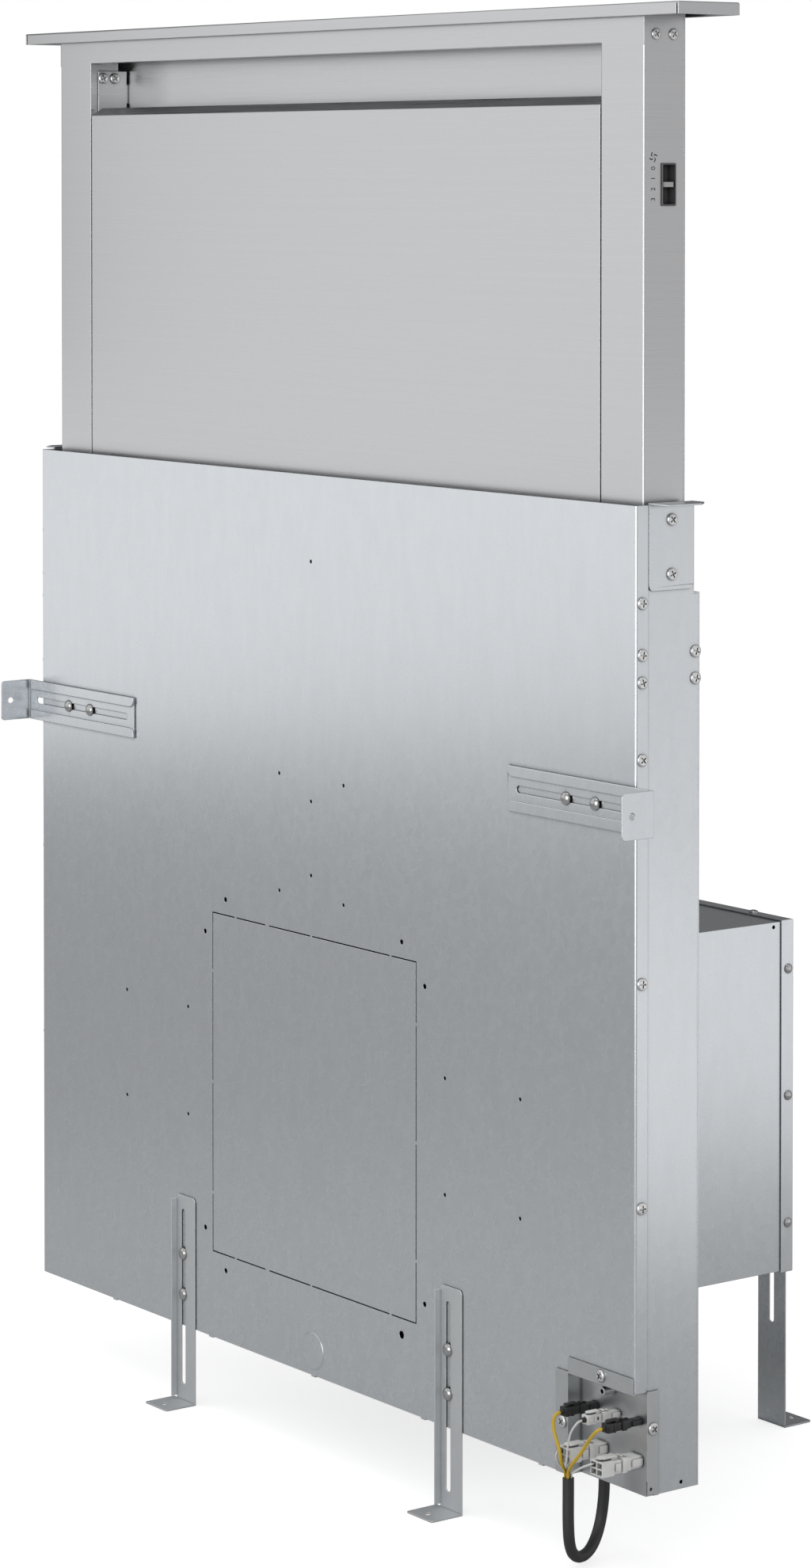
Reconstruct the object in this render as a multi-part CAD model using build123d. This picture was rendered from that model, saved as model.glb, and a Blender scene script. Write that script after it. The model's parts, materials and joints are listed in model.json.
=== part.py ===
from build123d import *
import math
import os

# Telescopic downdraft vent for a 30 inch range, modelled with its riser raised. Millimetres.
# Working frame: x = 0 is the centre plane, y = 0 the riser's front face (y grows to the rear),
# z = 0 the housing's lower edge. Every piece is moved to the part's own frame when it is written.

# ---- sheet metal and fits ----
sheet = 1.0              # wall of all folded sheet
slide_gap = 0.05         # between a slotted bracket and what it slides on
run_fit = 0.05           # radial clearance of shafts and pins that turn
move_gap = 0.3           # clearance between pieces that pass each other
hole_fit = 0.05          # radial clearance of screw and bolt holes

# ---- housing ----
cover_half = 348.8       # half width over the front cover's flanges
cover_front = -12.3      # front face of the cover
flange_back = -2.5       # rear edge of the cover's side flanges
housing_top = 619.5
housing_rear = 40.0
step_z = 563.4           # above this height the housing is shallower
step_rear = 35.4
cover_bend = 1.6         # outer radius of the cover's bends
rear_flange = 15.0       # width of the side panels' rear flanges
bottom_lip = 11.0
low_hole_y, low_hole_z = 26.0, 4.3     # hole low in the right side panel
tab_middle, tab_wide = 2.4, 4.6        # hooks under the front cover
tab_to_recess = 27.9     # from the last hook's middle to the recess

# ---- knock-out and hole pattern of the front cover ----
knock_half = 120.6
knock_z = 182.0
slit = 0.9
bridge = 2.2
wide_bridge = 4.6
bridge_flat, bridge_middle, bridge_upright = 92.0, 53.0, 79.0     # from the knock-out's middle
hole_small = 1.3
hole_blower = 1.8
hole_wire = 2.65
centre_holes = (560.1, 395.3, 344.4)
pair_x = 38.1
pair_holes = (410.6, 329.2)
side_hole_x = (152.3, 232.6)
side_hole_z = (153.4, 230.5)
blower_tall = (104.5, 131.7)      # half spacings of the upright hole rectangle
blower_wide = (130.2, 105.8)      # half spacings of the lying hole rectangle
disc_x, disc_z, disc_r, disc_rise = 1.9, 16.7, 12.7, 0.35

# ---- wiring recess ----
recess_wide = 66.5
recess_top = 66.0
recess_depth = 9.8                # cover face to the recess's back plate
recess_flange = 11.3
recess_side_flange = 9.5
roof_screw_in, flange_screw_out = 34.2, 4.3
standoff_in, standoff_down, standoff_r = 33.4, 5.5, 2.9     # from the recess's left edge and top

# ---- riser ----
side_gap = 5.9                    # between the riser's side and the housing's side panel
riser_depth = 33.4
riser_top = 930.1
riser_bottom = 483.0
stile = 41.8                      # width of the riser's upright rails
stile_return = 24.0               # depth of the rails' inner walls
slot_top = 907.4                  # upper edge of the inlet slot
wall_back = 6.2                   # front edge of the inner wall plates
wall_top = 902.0
cap_over = 40.1                   # the cap's overhang at each side
cap_front = -6.1
cap_rear = 43.5
cap_skirt = 8.0
cap_slit = 1.2
gusset_in, gusset_below, gusset_above = 4.0, 3.5, 14.0
seam_down = 24.4                  # the riser's front corners are sharp for this far below its top

# ---- filter cover ----
filter_gap = 1.2                  # between filter cover and stiles
filter_top = 868.4
filter_bottom = 612.4
lip_back, lip_rise = 7.0, 5.4
hinge_y, hinge_z, hinge_r = 3.0, 616.0, 1.2
hinge_drop = 1.4                  # opening's edge below the filter cover

# ---- grease filters ----
filter_front, filter_thick = 9.8, 9.0
filter_low, filter_high = 640.0, 864.6
filter_frame = 8.0
ledge_drop, channel_up = 14.0, 9.0
magnet_wide, magnet_tall, magnet_down = 12.0, 20.0, 25.0

# ---- lift ----
spindle_in, spindle_y = 26.9, 17.0       # inward from the riser's side
spindle_r, journal_r = 5.0, 4.0
spindle_top, spindle_foot_z, journal_low = 515.0, 30.0, 20.0
pulley_r, pulley_rim = 9.0, 11.2
belt_z, belt_wide, belt_thick = 51.0, 7.0, 1.5
bearing_z, bearing_tall, bearing_wide = 60.0, 16.0, 28.0
motor_r, motor_tall = 19.5, 39.0
control_in, control_wide, control_tall, control_lid = 88.8, 110.0, 39.0, 6.0   # in from the cover's side
nut_tall = 16.0
guide_z, guide_tall, guide_deep = 500.0, 35.0, 6.8

# ---- blower ----
box_half, box_low, box_high = 157.5, 58.5, 305.5
box_rear = 289.3
tray_deep = 11.5
box_hole_y, box_hole_z = 271.3, 301.2
fan_x, fan_z = -22.0, 182.0
fan_r, fan_inner_r = 72.0, 58.0
fan_front, fan_rear = 77.5, 163.0
blades = 32
blade_thick = 0.9
scroll_front_y, scroll_rear_y = 75.0, 185.0
scroll_start, scroll_end = 82.0, 110.0
tongue_x = 28.0
inlet_r, inlet_lip, inlet_mouth, inlet_bend = 60.5, 14.0, 16.0, 7.0
fan_motor_r, fan_motor_rear = 42.0, 248.0
shaft_r = 4.0
collar_x, collar_y, collar_r, collar_low = 47.0, 130.0, 76.0, 18.0
collar_rim, plate_rim = 9.0, 2.0
damper_z, damper_pin_r, knuckle_r = 40.0, 1.5, 2.5

# ---- brackets and legs ----
support_front, support_rear = -2.0, 34.3
support_low, support_top = 566.0, 620.9
support_thick, support_flange, support_corner = 1.2, 19.2, 3.5
wall_out, wall_length = 17.7, 145.5       # beyond the cover's side; overall
wall_low, wall_high, wall_hem = 415.7, 445.1, 7.0
wall_slot_in, wall_slot_out = 9.0, 11.5    # from the strip's two ends
wall_slot_r = 2.3
wall_front_reach = 38.0
leg_x, leg_top, foot_drop = 157.2, 94.0, 54.6
leg_left, leg_right, foot_left, leg_rib = 8.6, 14.75, 13.5, 5.0
leg_slot = (-42.1, 84.0)
leg_slot_r = 2.5
foot_reach = 37.8
rear_leg_x, rear_leg_half, rear_leg_top = 134.6, 14.4, 154.0
rear_leg_slot = (17.4, 143.7)
rear_foot = 25.7                  # rear feet beyond the blower's rear cover
foot_hole_r = 2.2
foot_hole_y = -29.8

# ---- screws ----
bolt_r, bolt_head_r, bolt_head = 2.2, 4.4, 2.6
screw_r, screw_head_r, screw_head = 1.4, 3.9, 1.7
side_head_r, side_head = 3.5, 1.2          # the riser's side screws
tray_head_r, tray_head = 3.5, 1.9          # the blower's domed screws
bolt_pitch = 29.2
wall_bolt_in, leg_bolt_low, rear_bolt_low = 38.8, 22.8, 72.0
flange_screw_z = (558.8, 526.6, 509.5, 461.4, 321.8, 181.6)
rear_screw_z = (526.4, 509.5)
support_screw_z = (610.0, 575.9)
tray_screw_z = (271.2, 182.4, 93.0)
tray_screw_x = 120.7
side_screw_y, side_screw_z = (9.6, 23.7), 912.2
slot_screw_y, slot_screw_z = (10.0, 20.1), 896.6

# ---- speed switch ----
switch_y, switch_z = (14.0, 25.5), (805.3, 831.7)
switch_deep, bezel_thick, bezel_lip, pocket_in = 15.9, 1.0, 0.3, 0.8
knob_z, knob_tall, knob_out, knob_crown = 818.5, 3.1, 1.2, 1.0

# ---- plugs: x from the recess's left edge, z, and y of the front face ----
black_plugs = ((15.2, 46.4, -28.75), (58.9, 46.4, -30.5))
white_small = ((37.2, 46.4, -28.75),)
white_large = ((22.2, 21.5, -33.5), (56.7, 21.5, -35.25))
small_size = (7.2, 6.2)
large_size = (12.0, 9.2)
plug_long_small, plug_long_large = 11.5, 16.0
plug_step = 0.5                   # the rear of a plug is this much slimmer all round
shoulder_long, ear_out = 7.5, 1.2
boot_r, boot_bore, boot_long = 1.9, 1.3, 2.4
cavity_deep = 8.0

# ---- cords: tube radii and hand-set routes, their x from the recess's left edge ----
sleeve_r, yellow_r, white_r = 3.65, 1.1, 0.7
sleeve_route = ((22.3, -30.0, 6.5), (22.3, -30.0, -5.5), (22.8, -30.5, -19.5), (22.7, -29.8, -33.6),
                (19.4, -24.6, -43.5), (14.5, -14.8, -49.3), (9.2, -2.8, -49.2), (4.3, 7.1, -43.4),
                (1.9, 13.0, -33.6), (2.3, 14.8, -21.2), (2.9, 15.0, -11.0), (2.9, 15.0, -2.0))
yellow_routes = (
    ((15.2, -28.75, 46.4), (15.2, -34.0, 46.4), (15.3, -36.5, 42.9), (15.6, -36.8, 37.3),
     (18.5, -36.8, 31.0), (22.1, -36.4, 24.0), (22.0, -35.4, 15.8), (20.9, -30.9, 10.3),
     (20.9, -30.9, 6.5)),
    ((58.9, -30.5, 46.4), (58.9, -35.2, 46.4), (56.9, -36.6, 44.0), (52.3, -35.6, 40.6),
     (45.6, -33.8, 34.4), (39.5, -34.0, 26.3), (32.3, -34.4, 18.9), (26.6, -32.7, 13.3),
     (23.4, -31.2, 10.3), (23.4, -31.2, 6.5)))
white_routes = (
    ((37.2, -28.75, 46.4), (37.2, -33.2, 46.4), (35.7, -35.2, 43.6), (32.2, -36.4, 38.4),
     (28.9, -35.9, 29.0), (27.3, -35.4, 19.8), (24.1, -33.8, 14.2), (22.1, -28.8, 10.6),
     (22.1, -28.8, 6.5)),
    ((53.5, -27.25, 23.9), (53.5, -36.6, 23.9), (50.1, -37.2, 22.2), (44.3, -36.6, 19.6),
     (37.1, -34.9, 15.8), (30.7, -32.8, 12.2), (26.7, -31.0, 10.8), (24.2, -29.1, 9.6),
     (24.2, -29.1, 6.5)),
    ((19.0, -25.5, 23.9), (19.0, -35.5, 23.9), (17.9, -36.6, 20.9), (17.6, -35.0, 15.8),
     (18.1, -31.4, 12.0), (20.3, -28.9, 9.8), (20.3, -28.9, 6.5)))
grommet_r = 6.5

# ---- places worked out from the sizes above ----
cover_in = cover_front + sheet                 # inner face of the cover
screw_flange_y = (cover_front + flange_back) / 2
screw_rear_y = housing_rear - 3.5
side_out = cover_half - sheet                  # outer face of the side panels
side_in = side_out - sheet
side_front = cover_in + cover_bend - sheet + 0.1
rear_face = housing_rear - sheet               # front face of the rear panel
recess_left = cover_half - recess_wide
tab_pitch = (recess_left - tab_to_recess - tab_middle) / 2
plate_y = cover_front + recess_depth           # front face of the recess's back plate
grommet_x = recess_left + sleeve_route[-1][0]
standoff_x, standoff_z = recess_left + standoff_in, recess_top - standoff_down
recess_screw_x, recess_screw_z = recess_left + roof_screw_in, recess_top + recess_side_flange / 2
flange_screw_x = recess_left - flange_screw_out
recess_side_y, recess_side_z = plate_y + recess_side_flange / 2, 42.2
riser_half = side_in - side_gap
stile_in = riser_half - stile
spindle_x = riser_half - spindle_in
support_reach = side_out + support_flange
support_screw_y = (support_front + support_rear) / 2
wall_reach = cover_half + wall_out
wall_inner = wall_reach - wall_length
wall_slot = (wall_inner + wall_slot_in, wall_reach - wall_slot_out)
wall_mid = (wall_low + wall_high) / 2
wall_bolts = (cover_half - wall_bolt_in - bolt_pitch, cover_half - wall_bolt_in)
leg_bolt_z = (leg_bolt_low, leg_bolt_low + bolt_pitch)
rear_bolt_z = (rear_bolt_low, rear_bolt_low + bolt_pitch)
inlet_flange_r = inlet_r + inlet_lip + 5
screw_hole_r, bolt_hole_r = screw_r + hole_fit, bolt_r + hole_fit
cap_top = riser_top + sheet
cap_half = riser_half + cap_over
slider_face = cover_front - slide_gap          # rear face of what slides on the cover
rear_slider = box_rear + slide_gap
rear_reach = box_rear + rear_foot
origin_shift = Location((0, -(rear_reach - wall_front_reach) / 2, foot_drop))


def block(x, y, z):
    """Box between three (low, high) pairs."""
    size = (x[1] - x[0], y[1] - y[0], z[1] - z[0])
    return Pos((x[0] + x[1]) / 2, (y[0] + y[1]) / 2, (z[0] + z[1]) / 2) * Box(*size)


on_foot = (Align.CENTER, Align.CENTER, Align.MIN)


def rod_x(r, x, y, z):
    return Pos(x[0], y, z) * Rot(0, 90, 0) * Cylinder(r, x[1] - x[0], align=on_foot)


def rod_y(r, x, y, z):
    return Pos(x, y[1], z) * Rot(90, 0, 0) * Cylinder(r, y[1] - y[0], align=on_foot)


def rod_z(r, x, y, z):
    return Pos(x, y, z[0]) * Cylinder(r, z[1] - z[0], align=on_foot)


def flip(shape):
    """The same piece on the other side of the centre plane."""
    return mirror(shape, about=Plane.YZ)


def pair(shape):
    return [shape, flip(shape)]


def along_x(sketch, x):
    """Profile drawn in (y, z), pulled between two x."""
    return Pos(x[0], 0, 0) * extrude(Plane.YZ * sketch, amount=x[1] - x[0])


def along_y(sketch, y):
    """Profile drawn in (x, z), pulled between two y."""
    return Pos(0, y[1], 0) * extrude(Plane.XZ * sketch, amount=y[1] - y[0])


def along_z(sketch, z):
    """Profile drawn in (x, y), pulled between two z."""
    return Pos(0, 0, z[0]) * extrude(sketch, amount=z[1] - z[0])


def outline(*points):
    return make_face(Polyline(*points, close=True))


def slot_face(low, high, r, upright):
    """Round-ended slot: its ends at low and high, centred on zero across."""
    face = SlotOverall(high - low, 2 * r)
    middle = (low + high) / 2
    return Pos(0, middle) * Rot(0, 0, 90) * face if upright else Pos(middle, 0) * face


# ---------------- housing ----------------

def slit_runs(low, high, bridges):
    """Stretches of slit left between the small bridges that hold the knock-out in."""
    ends = [low]
    for place, width in bridges:
        ends += [place - width / 2, place + width / 2]
    ends.append(high)
    return list(zip(ends[::2], ends[1::2]))


def knock_out_slits():
    cuts = []
    depth = (cover_front - 1, cover_in + 1)
    low, high = -knock_half - slit / 2, knock_half + slit / 2
    flat = [(-bridge_flat, bridge), (-bridge_middle, wide_bridge), (0, bridge), (bridge_flat, bridge)]
    upright = [(-bridge_upright, bridge), (0, bridge), (bridge_upright, bridge)]
    for side in (-knock_half, knock_half):
        across = (side - slit / 2, side + slit / 2)
        for a, b in slit_runs(low, high, flat):
            cuts.append(block((a, b), depth, (knock_z + across[0], knock_z + across[1])))
        for a, b in slit_runs(low, high, upright):
            cuts.append(block(across, depth, (knock_z + a, knock_z + b)))
    return cuts


def cover_holes():
    """x, z and radius of every round hole in the cover's face."""
    holes = [(0, z, hole_small) for z in centre_holes]
    for side in (-1, 1):
        holes += [(side * pair_x, z, hole_small) for z in pair_holes]
        holes += [(side * x, z, hole_small) for x in side_hole_x for z in side_hole_z]
        for half_x, half_z in (blower_tall, blower_wide):
            for up in (-1, 1):
                wire = side > 0 and up < 0 and half_x == blower_tall[0]
                holes.append((side * half_x, knock_z + up * half_z, hole_wire if wire else hole_blower))
    return holes


def front_cover():
    shell = block((-cover_half, cover_half), (cover_front, flange_back), (0, housing_top))
    shell = fillet(shell.edges().filter_by(Axis.Z).group_by(Axis.Y)[0], cover_bend)
    inside = block((-side_out, side_out), (cover_in, 0), (-1, housing_top + 1))
    inside = fillet(inside.edges().filter_by(Axis.Z).group_by(Axis.Y)[0], cover_bend - sheet)
    disc = rod_y(disc_r, disc_x, (cover_front - disc_rise, cover_in), disc_z)
    disc = chamfer(disc.edges().group_by(Axis.Y)[0], disc_rise * 0.8)
    cuts = [block((recess_left, cover_half + 1), (cover_front - 1, 0), (-1, recess_top))]
    cuts += knock_out_slits()
    cuts += [rod_y(r, x, (cover_front - 1, cover_in + 1), z) for x, z, r in cover_holes()]
    cuts += [rod_x(screw_hole_r, (-cover_half - 1, cover_half + 1), screw_flange_y, z)
             for z in flange_screw_z]
    cuts.append(rod_x(1.2, (side_in, cover_half + 1), flange_back, recess_top + 1.2))
    cuts += [rod_y(bolt_hole_r, side * x, (cover_front - 1, cover_in + 1), wall_mid) for x in wall_bolts
             for side in (-1, 1)]
    cuts += [rod_y(bolt_hole_r, side * leg_x, (cover_front - 1, cover_in + 1), z) for z in leg_bolt_z
             for side in (-1, 1)]
    cuts.append(rod_y(screw_hole_r, flange_screw_x, (cover_front - 1, cover_in + 1), recess_top / 2))
    cuts.append(rod_y(screw_hole_r, recess_screw_x, (cover_front - 1, cover_in + 1), recess_screw_z))
    return (shell - inside + disc) - cuts


def side_panel(right):
    """Upright side sheet with its rear flange; only the right one is cut back behind the wiring recess."""
    face = outline((side_front, 0), (rear_face, 0), (rear_face, step_z - sheet),
                   (step_rear - sheet, step_z - sheet), (step_rear - sheet, housing_top),
                   (side_front, housing_top))
    panel = along_x(face, (side_in, side_out))
    panel += block((side_out - rear_flange, side_out), (rear_face - sheet, rear_face), (0, step_z - sheet))
    cuts = [rod_x(screw_hole_r, (side_in - 1, side_out + 1), screw_flange_y, z) for z in flange_screw_z]
    cuts += [rod_x(screw_hole_r, (side_in - 1, side_out + 1), screw_rear_y, z) for z in rear_screw_z]
    cuts += [rod_x(screw_hole_r, (side_in - 1, side_out + 1), support_screw_y, z) for z in support_screw_z]
    if right:
        cuts.append(block((side_in - 1, side_out + 1), (side_front - 1, plate_y + sheet), (-1, recess_top)))
        cuts.append(rod_x(hole_small, (side_in - 1, side_out + 1), low_hole_y, low_hole_z))
        cuts.append(rod_x(screw_hole_r, (side_in - 1, side_out + 1), recess_side_y, recess_side_z))
    return panel - cuts


def rear_panel():
    """Rear sheet, stepped forward near the top, with the blower's inlet hole."""
    mid = sheet / 2
    path = Polyline((housing_rear - mid, 0), (housing_rear - mid, step_z - mid),
                    (step_rear - mid, step_z - mid), (step_rear - mid, housing_top))
    panel = along_x(trace(path, sheet), (-side_out, side_out))
    return panel - rod_y(inlet_flange_r, fan_x, (rear_face - 1, housing_rear + 1), fan_z)


def bottom_panel():
    """Floor with upturned lips and five small tabs that hook under the front cover."""
    panel = block((-side_in, side_in), (cover_in, rear_face), (0, sheet))
    panel += block((-side_in, recess_left - 1), (cover_in, cover_in + sheet), (0, bottom_lip))
    rear_half = side_in - rear_flange
    panel += block((-rear_half, rear_half), (rear_face - sheet, rear_face), (0, bottom_lip))
    panel -= block((recess_left - 1, cover_half), (cover_in - 1, plate_y + sheet), (-1, bottom_lip + 1))
    panel -= [block((low, low + rear_flange), (rear_face - sheet, rear_face + 1), (-1, sheet + 1))
              for low in (-side_in, side_in - rear_flange)]
    panel -= rod_z(grommet_r - 1.5 + hole_fit, grommet_x, sleeve_route[-1][1], (-1, 2))
    for step in range(-2, 3):
        x = tab_middle + step * tab_pitch
        panel += block((x - tab_wide / 2, x + tab_wide / 2), (cover_front, cover_in + 4), (-sheet, 0))
    return panel


def wiring_box():
    """Recessed plate for the panel sockets, with flanges lapping the cover's front and the side panel."""
    right = cover_half
    plate = block((recess_left, right), (plate_y, plate_y + sheet), (0, recess_top - sheet))
    deep = (cover_front - sheet, plate_y + sheet)
    wall = block((recess_left, recess_left + sheet), deep, (0, recess_top - 0.2))
    left = block((recess_left - recess_flange, recess_left + sheet), (cover_front - sheet, cover_front),
                 (0, recess_top - 0.2))
    roof = block((recess_left, side_out), deep, (recess_top - sheet, recess_top))
    top = block((recess_left + 1.2, side_out - 0.3), (cover_front - sheet, cover_front),
                (recess_top - sheet, recess_top + recess_side_flange))
    side = block((side_out, right), (plate_y, plate_y + recess_side_flange), (0, recess_top - 0.2))
    tube = rod_y(standoff_r, standoff_x, (plate_y - recess_depth + 0.3, plate_y), standoff_z)
    body = plate + [wall, left, roof, top, side, tube]
    cuts = [rod_y(standoff_r / 2, standoff_x, (cover_front - 1, plate_y + 2), standoff_z)]
    cuts.append(block((side_out - 0.2, right + 1), (plate_y - 1, plate_y + 0.6), (0.9, 9.3)))
    cuts.append(block((side_out, right + 1), (plate_y - 1, plate_y + 5.3), (-1, 0.9)))
    cuts.append(rod_x(1.1, (side_out - 1, right + 1), 0.6, 4.4))
    cuts.append(rod_y(screw_hole_r, flange_screw_x, (cover_front - 2, cover_in), recess_top / 2))
    cuts.append(rod_y(screw_hole_r, recess_screw_x, (cover_front - 2, cover_in), recess_screw_z))
    cuts.append(rod_x(screw_hole_r, (side_out - 1, right + 1), recess_side_y, recess_side_z))
    for plugs, size in ((black_plugs + white_small, small_size), (white_large, large_size)):
        for along, z, _ in plugs:
            x, half_w, half_h = recess_left + along, size[0] / 2 - 1, size[1] / 2 - 1
            cuts.append(block((x - half_w, x + half_w), (plate_y - 1, plate_y + 2), (z - half_h, z + half_h)))
    return body - cuts


def counter_bracket():
    """Angle that hangs the housing on the counter's cut-out; its flange has one corner cut off."""
    plate = block((side_out, side_out + support_thick), (support_front, support_rear),
                  (support_low, support_top))
    plate = fillet(plate.edges().filter_by(Axis.X).group_by(Axis.Z)[0], support_corner)
    flange = outline((side_out, support_front), (support_reach, support_front),
                     (support_reach, support_rear - 9), (support_reach - 8, support_rear),
                     (side_out, support_rear))
    bracket = plate + along_z(flange, (support_top - support_thick, support_top))
    reach = (side_in, side_out + support_thick + 1)
    return bracket - [rod_x(screw_hole_r, reach, support_screw_y, z) for z in support_screw_z]


def counter_brackets():
    """The left bracket is the right one turned half a turn about the upright."""
    middle = (support_front + support_rear) / 2
    right = counter_bracket()
    return [right, Pos(0, 2 * middle, 0) * Rot(0, 0, 180) * right]


def upper_guide():
    """Plastic clip in the housing's mouth that wraps the riser's edge fore and aft."""
    tip = riser_half - guide_deep
    face_x = riser_half + move_gap
    back = side_in - 2
    switch_low, switch_high = switch_y[0] - 2.5, switch_y[1] + 2.5
    clip = outline((tip, side_front), (side_in, side_front), (side_in, rear_face - sheet),
                   (tip, rear_face - sheet), (tip, riser_depth + move_gap), (face_x, riser_depth + move_gap),
                   (face_x, switch_high), (back, switch_high), (back, switch_low), (face_x, switch_low),
                   (face_x, -move_gap), (tip, -move_gap))
    guide = along_z(clip, (guide_z, guide_z + guide_tall))
    cuts = [rod_x(screw_hole_r, (side_in - 8, side_in + 1), screw_flange_y, z) for z in flange_screw_z[1:3]]
    cuts += [rod_x(screw_hole_r, (side_in - 8, side_in + 1), screw_rear_y, z) for z in rear_screw_z]
    return guide - cuts


# ---------------- lift ----------------

def spindle_bearing():
    half = bearing_wide / 2
    top = bearing_z + bearing_tall
    flange_x, flange_y = side_out - rear_flange - 0.3, rear_face - sheet - 0.5
    seat = outline((spindle_x - half, rear_face), (spindle_x - half, spindle_y),
                   (spindle_x - half + 6, spindle_y - 12), (spindle_x + half - 6, spindle_y - 12),
                   (spindle_x + half, spindle_y), (spindle_x + half, flange_y), (flange_x, flange_y),
                   (flange_x, rear_face))
    bore = rod_z(spindle_r + run_fit, spindle_x, spindle_y, (bearing_z - 1, top + 1))
    return along_z(seat, (bearing_z, top)) - bore


def spindle_foot():
    foot = Pos(spindle_x, spindle_y, 0) * block((-12, 12), (-12, 12), (sheet, spindle_foot_z))
    foot = chamfer(foot.edges().filter_by(Axis.Z), 4)
    bore = (journal_low - move_gap, spindle_foot_z + 1)
    return foot - rod_z(journal_r + run_fit, spindle_x, spindle_y, bore)


def lift_motor():
    """Flat gear motor under the left spindle."""
    body = rod_z(motor_r, -spindle_x, spindle_y, (sheet, sheet + motor_tall))
    body += Pos(-spindle_x, spindle_y, 0) * block((-22, 22), (-motor_r, motor_r), (sheet, sheet + 2))
    body += rod_z(11, -spindle_x, spindle_y, (sheet + motor_tall, sheet + motor_tall + 3))
    return body - rod_z(journal_r + run_fit, -spindle_x, spindle_y, (journal_low - move_gap, bearing_z))


def spindle():
    """Lift spindle with a lower journal and a thrust collar above its bearing."""
    low = belt_z + belt_wide
    shaft = rod_z(spindle_r, spindle_x, spindle_y, (low, spindle_top))
    shaft = chamfer(shaft.edges().group_by(Axis.Z)[-1], 1.5)
    collar_low_z = bearing_z + bearing_tall + move_gap
    shaft += rod_z(8, spindle_x, spindle_y, (collar_low_z, collar_low_z + 5))
    return shaft + rod_z(journal_r, spindle_x, spindle_y, (journal_low, low))


def pulley():
    half = belt_wide / 2
    wheel = rod_z(pulley_r, spindle_x, spindle_y, (belt_z - half - 1.5, belt_z + half + 1.5))
    for z in (belt_z - half - 1.5, belt_z + half + 0.5):
        wheel += rod_z(pulley_rim, spindle_x, spindle_y, (z, z + 1))
    return wheel - rod_z(journal_r, spindle_x, spindle_y, (belt_z - belt_wide, belt_z + belt_wide))


def drive_belt():
    span = 2 * spindle_x
    inner = pulley_r + run_fit
    loop = SlotCenterToCenter(span, 2 * (inner + belt_thick)) - SlotCenterToCenter(span, 2 * inner)
    return along_z(Pos(0, spindle_y) * loop, (belt_z - belt_wide / 2, belt_z + belt_wide / 2))


def control_box():
    right = cover_half - control_in
    x, y = (right - control_wide, right), (4, housing_rear - 3)
    top = sheet + control_tall
    case = block(x, y, (sheet, top))
    lid = block((x[0] - 1.5, x[1] + 1.5), (y[0] - 1.5, y[1] + 1), (top - control_lid, top))
    return fillet((case + lid).edges().group_by(Axis.Z)[-1], 1.5)


def cable_grommet():
    _, y, z = sleeve_route[-1]
    return rod_z(grommet_r, grommet_x, y, (z, 0)) + rod_z(grommet_r - 1.5, grommet_x, y, (0, sheet + 2))


# ---------------- blower ----------------

def blower_box():
    """Duct box open to the front, with in-turned front flanges and the outlet hole in its floor."""
    x, z = box_half - sheet, (box_low + sheet, box_high - sheet)
    rear = box_rear - sheet
    body = block((-x, x), (housing_rear, rear), z)
    body -= block((-x + sheet, x - sheet), (housing_rear + sheet, rear + 1), (z[0] + sheet, z[1] - sheet))
    body -= block((-x + 11, x - 11), (housing_rear - 1, housing_rear + 2), (z[0] + 11, z[1] - 11))
    cuts = [rod_z(collar_r - sheet, collar_x, collar_y, (z[0] - 1, z[0] + 2))]
    cuts.append(rod_x(hole_small, (x - 2, x + 1), box_hole_y, box_hole_z))
    return body - cuts - tray_screw_holes()


def tray_screw_holes():
    rear = box_rear - tray_deep / 2 + 0.5
    cuts = [rod_x(screw_hole_r, (-box_half - 1, box_half + 1), rear, z) for z in tray_screw_z]
    cuts += [rod_z(screw_hole_r, side * tray_screw_x, rear, (box_low - 1, box_high + 1)) for side in (-1, 1)]
    return cuts


def blower_rear_cover():
    """Shallow tray that closes the box from behind, its rim lapping the walls."""
    tray = block((-box_half, box_half), (box_rear - tray_deep, box_rear), (box_low, box_high))
    tray = fillet(tray.edges().group_by(Axis.Y)[-1], 1.2)
    inside = block((-box_half + sheet, box_half - sheet), (box_rear - tray_deep - 1, box_rear - sheet),
                   (box_low + sheet, box_high - sheet))
    cuts = tray_screw_holes()
    cuts += [rod_y(bolt_hole_r, side * rear_leg_x, (box_rear - 2, box_rear + 1), z) for z in rear_bolt_z
             for side in (-1, 1)]
    return tray - inside - cuts


def scroll_face(shrink=0.0):
    """Logarithmic scroll round the fan with a straight outlet downward, drawn in (x, z)."""
    floor_z = box_low + 3 * sheet
    first = math.atan2(-math.sqrt(scroll_start ** 2 - tongue_x ** 2), tongue_x)
    turn = 2 * math.pi + first
    grow = math.log(scroll_end / scroll_start) / turn
    points = []
    for step in range(13):
        angle = turn * step / 12
        r = scroll_start * math.exp(grow * angle) - shrink
        points.append((fan_x + r * math.cos(first - angle), fan_z + r * math.sin(first - angle)))
    curve = Spline(*points)
    low = floor_z - (1 if shrink else 0)
    left = fan_x + tongue_x + shrink
    edge = Polyline(points[-1], (points[-1][0], low), (left, low), (left, points[0][1]), points[0])
    return make_face(curve + edge)


def scroll_wall():
    return along_y(scroll_face() - scroll_face(sheet), (scroll_front_y + sheet, scroll_rear_y - sheet))


def scroll_front():
    return along_y(scroll_face(), (scroll_front_y, scroll_front_y + sheet)) - rod_y(
        fan_inner_r + 6, fan_x, (scroll_front_y - 1, scroll_front_y + 2), fan_z)


def scroll_back():
    return along_y(scroll_face(), (scroll_rear_y - sheet, scroll_rear_y)) - rod_y(
        12, fan_x, (scroll_rear_y - 2, scroll_rear_y + 1), fan_z)


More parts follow.
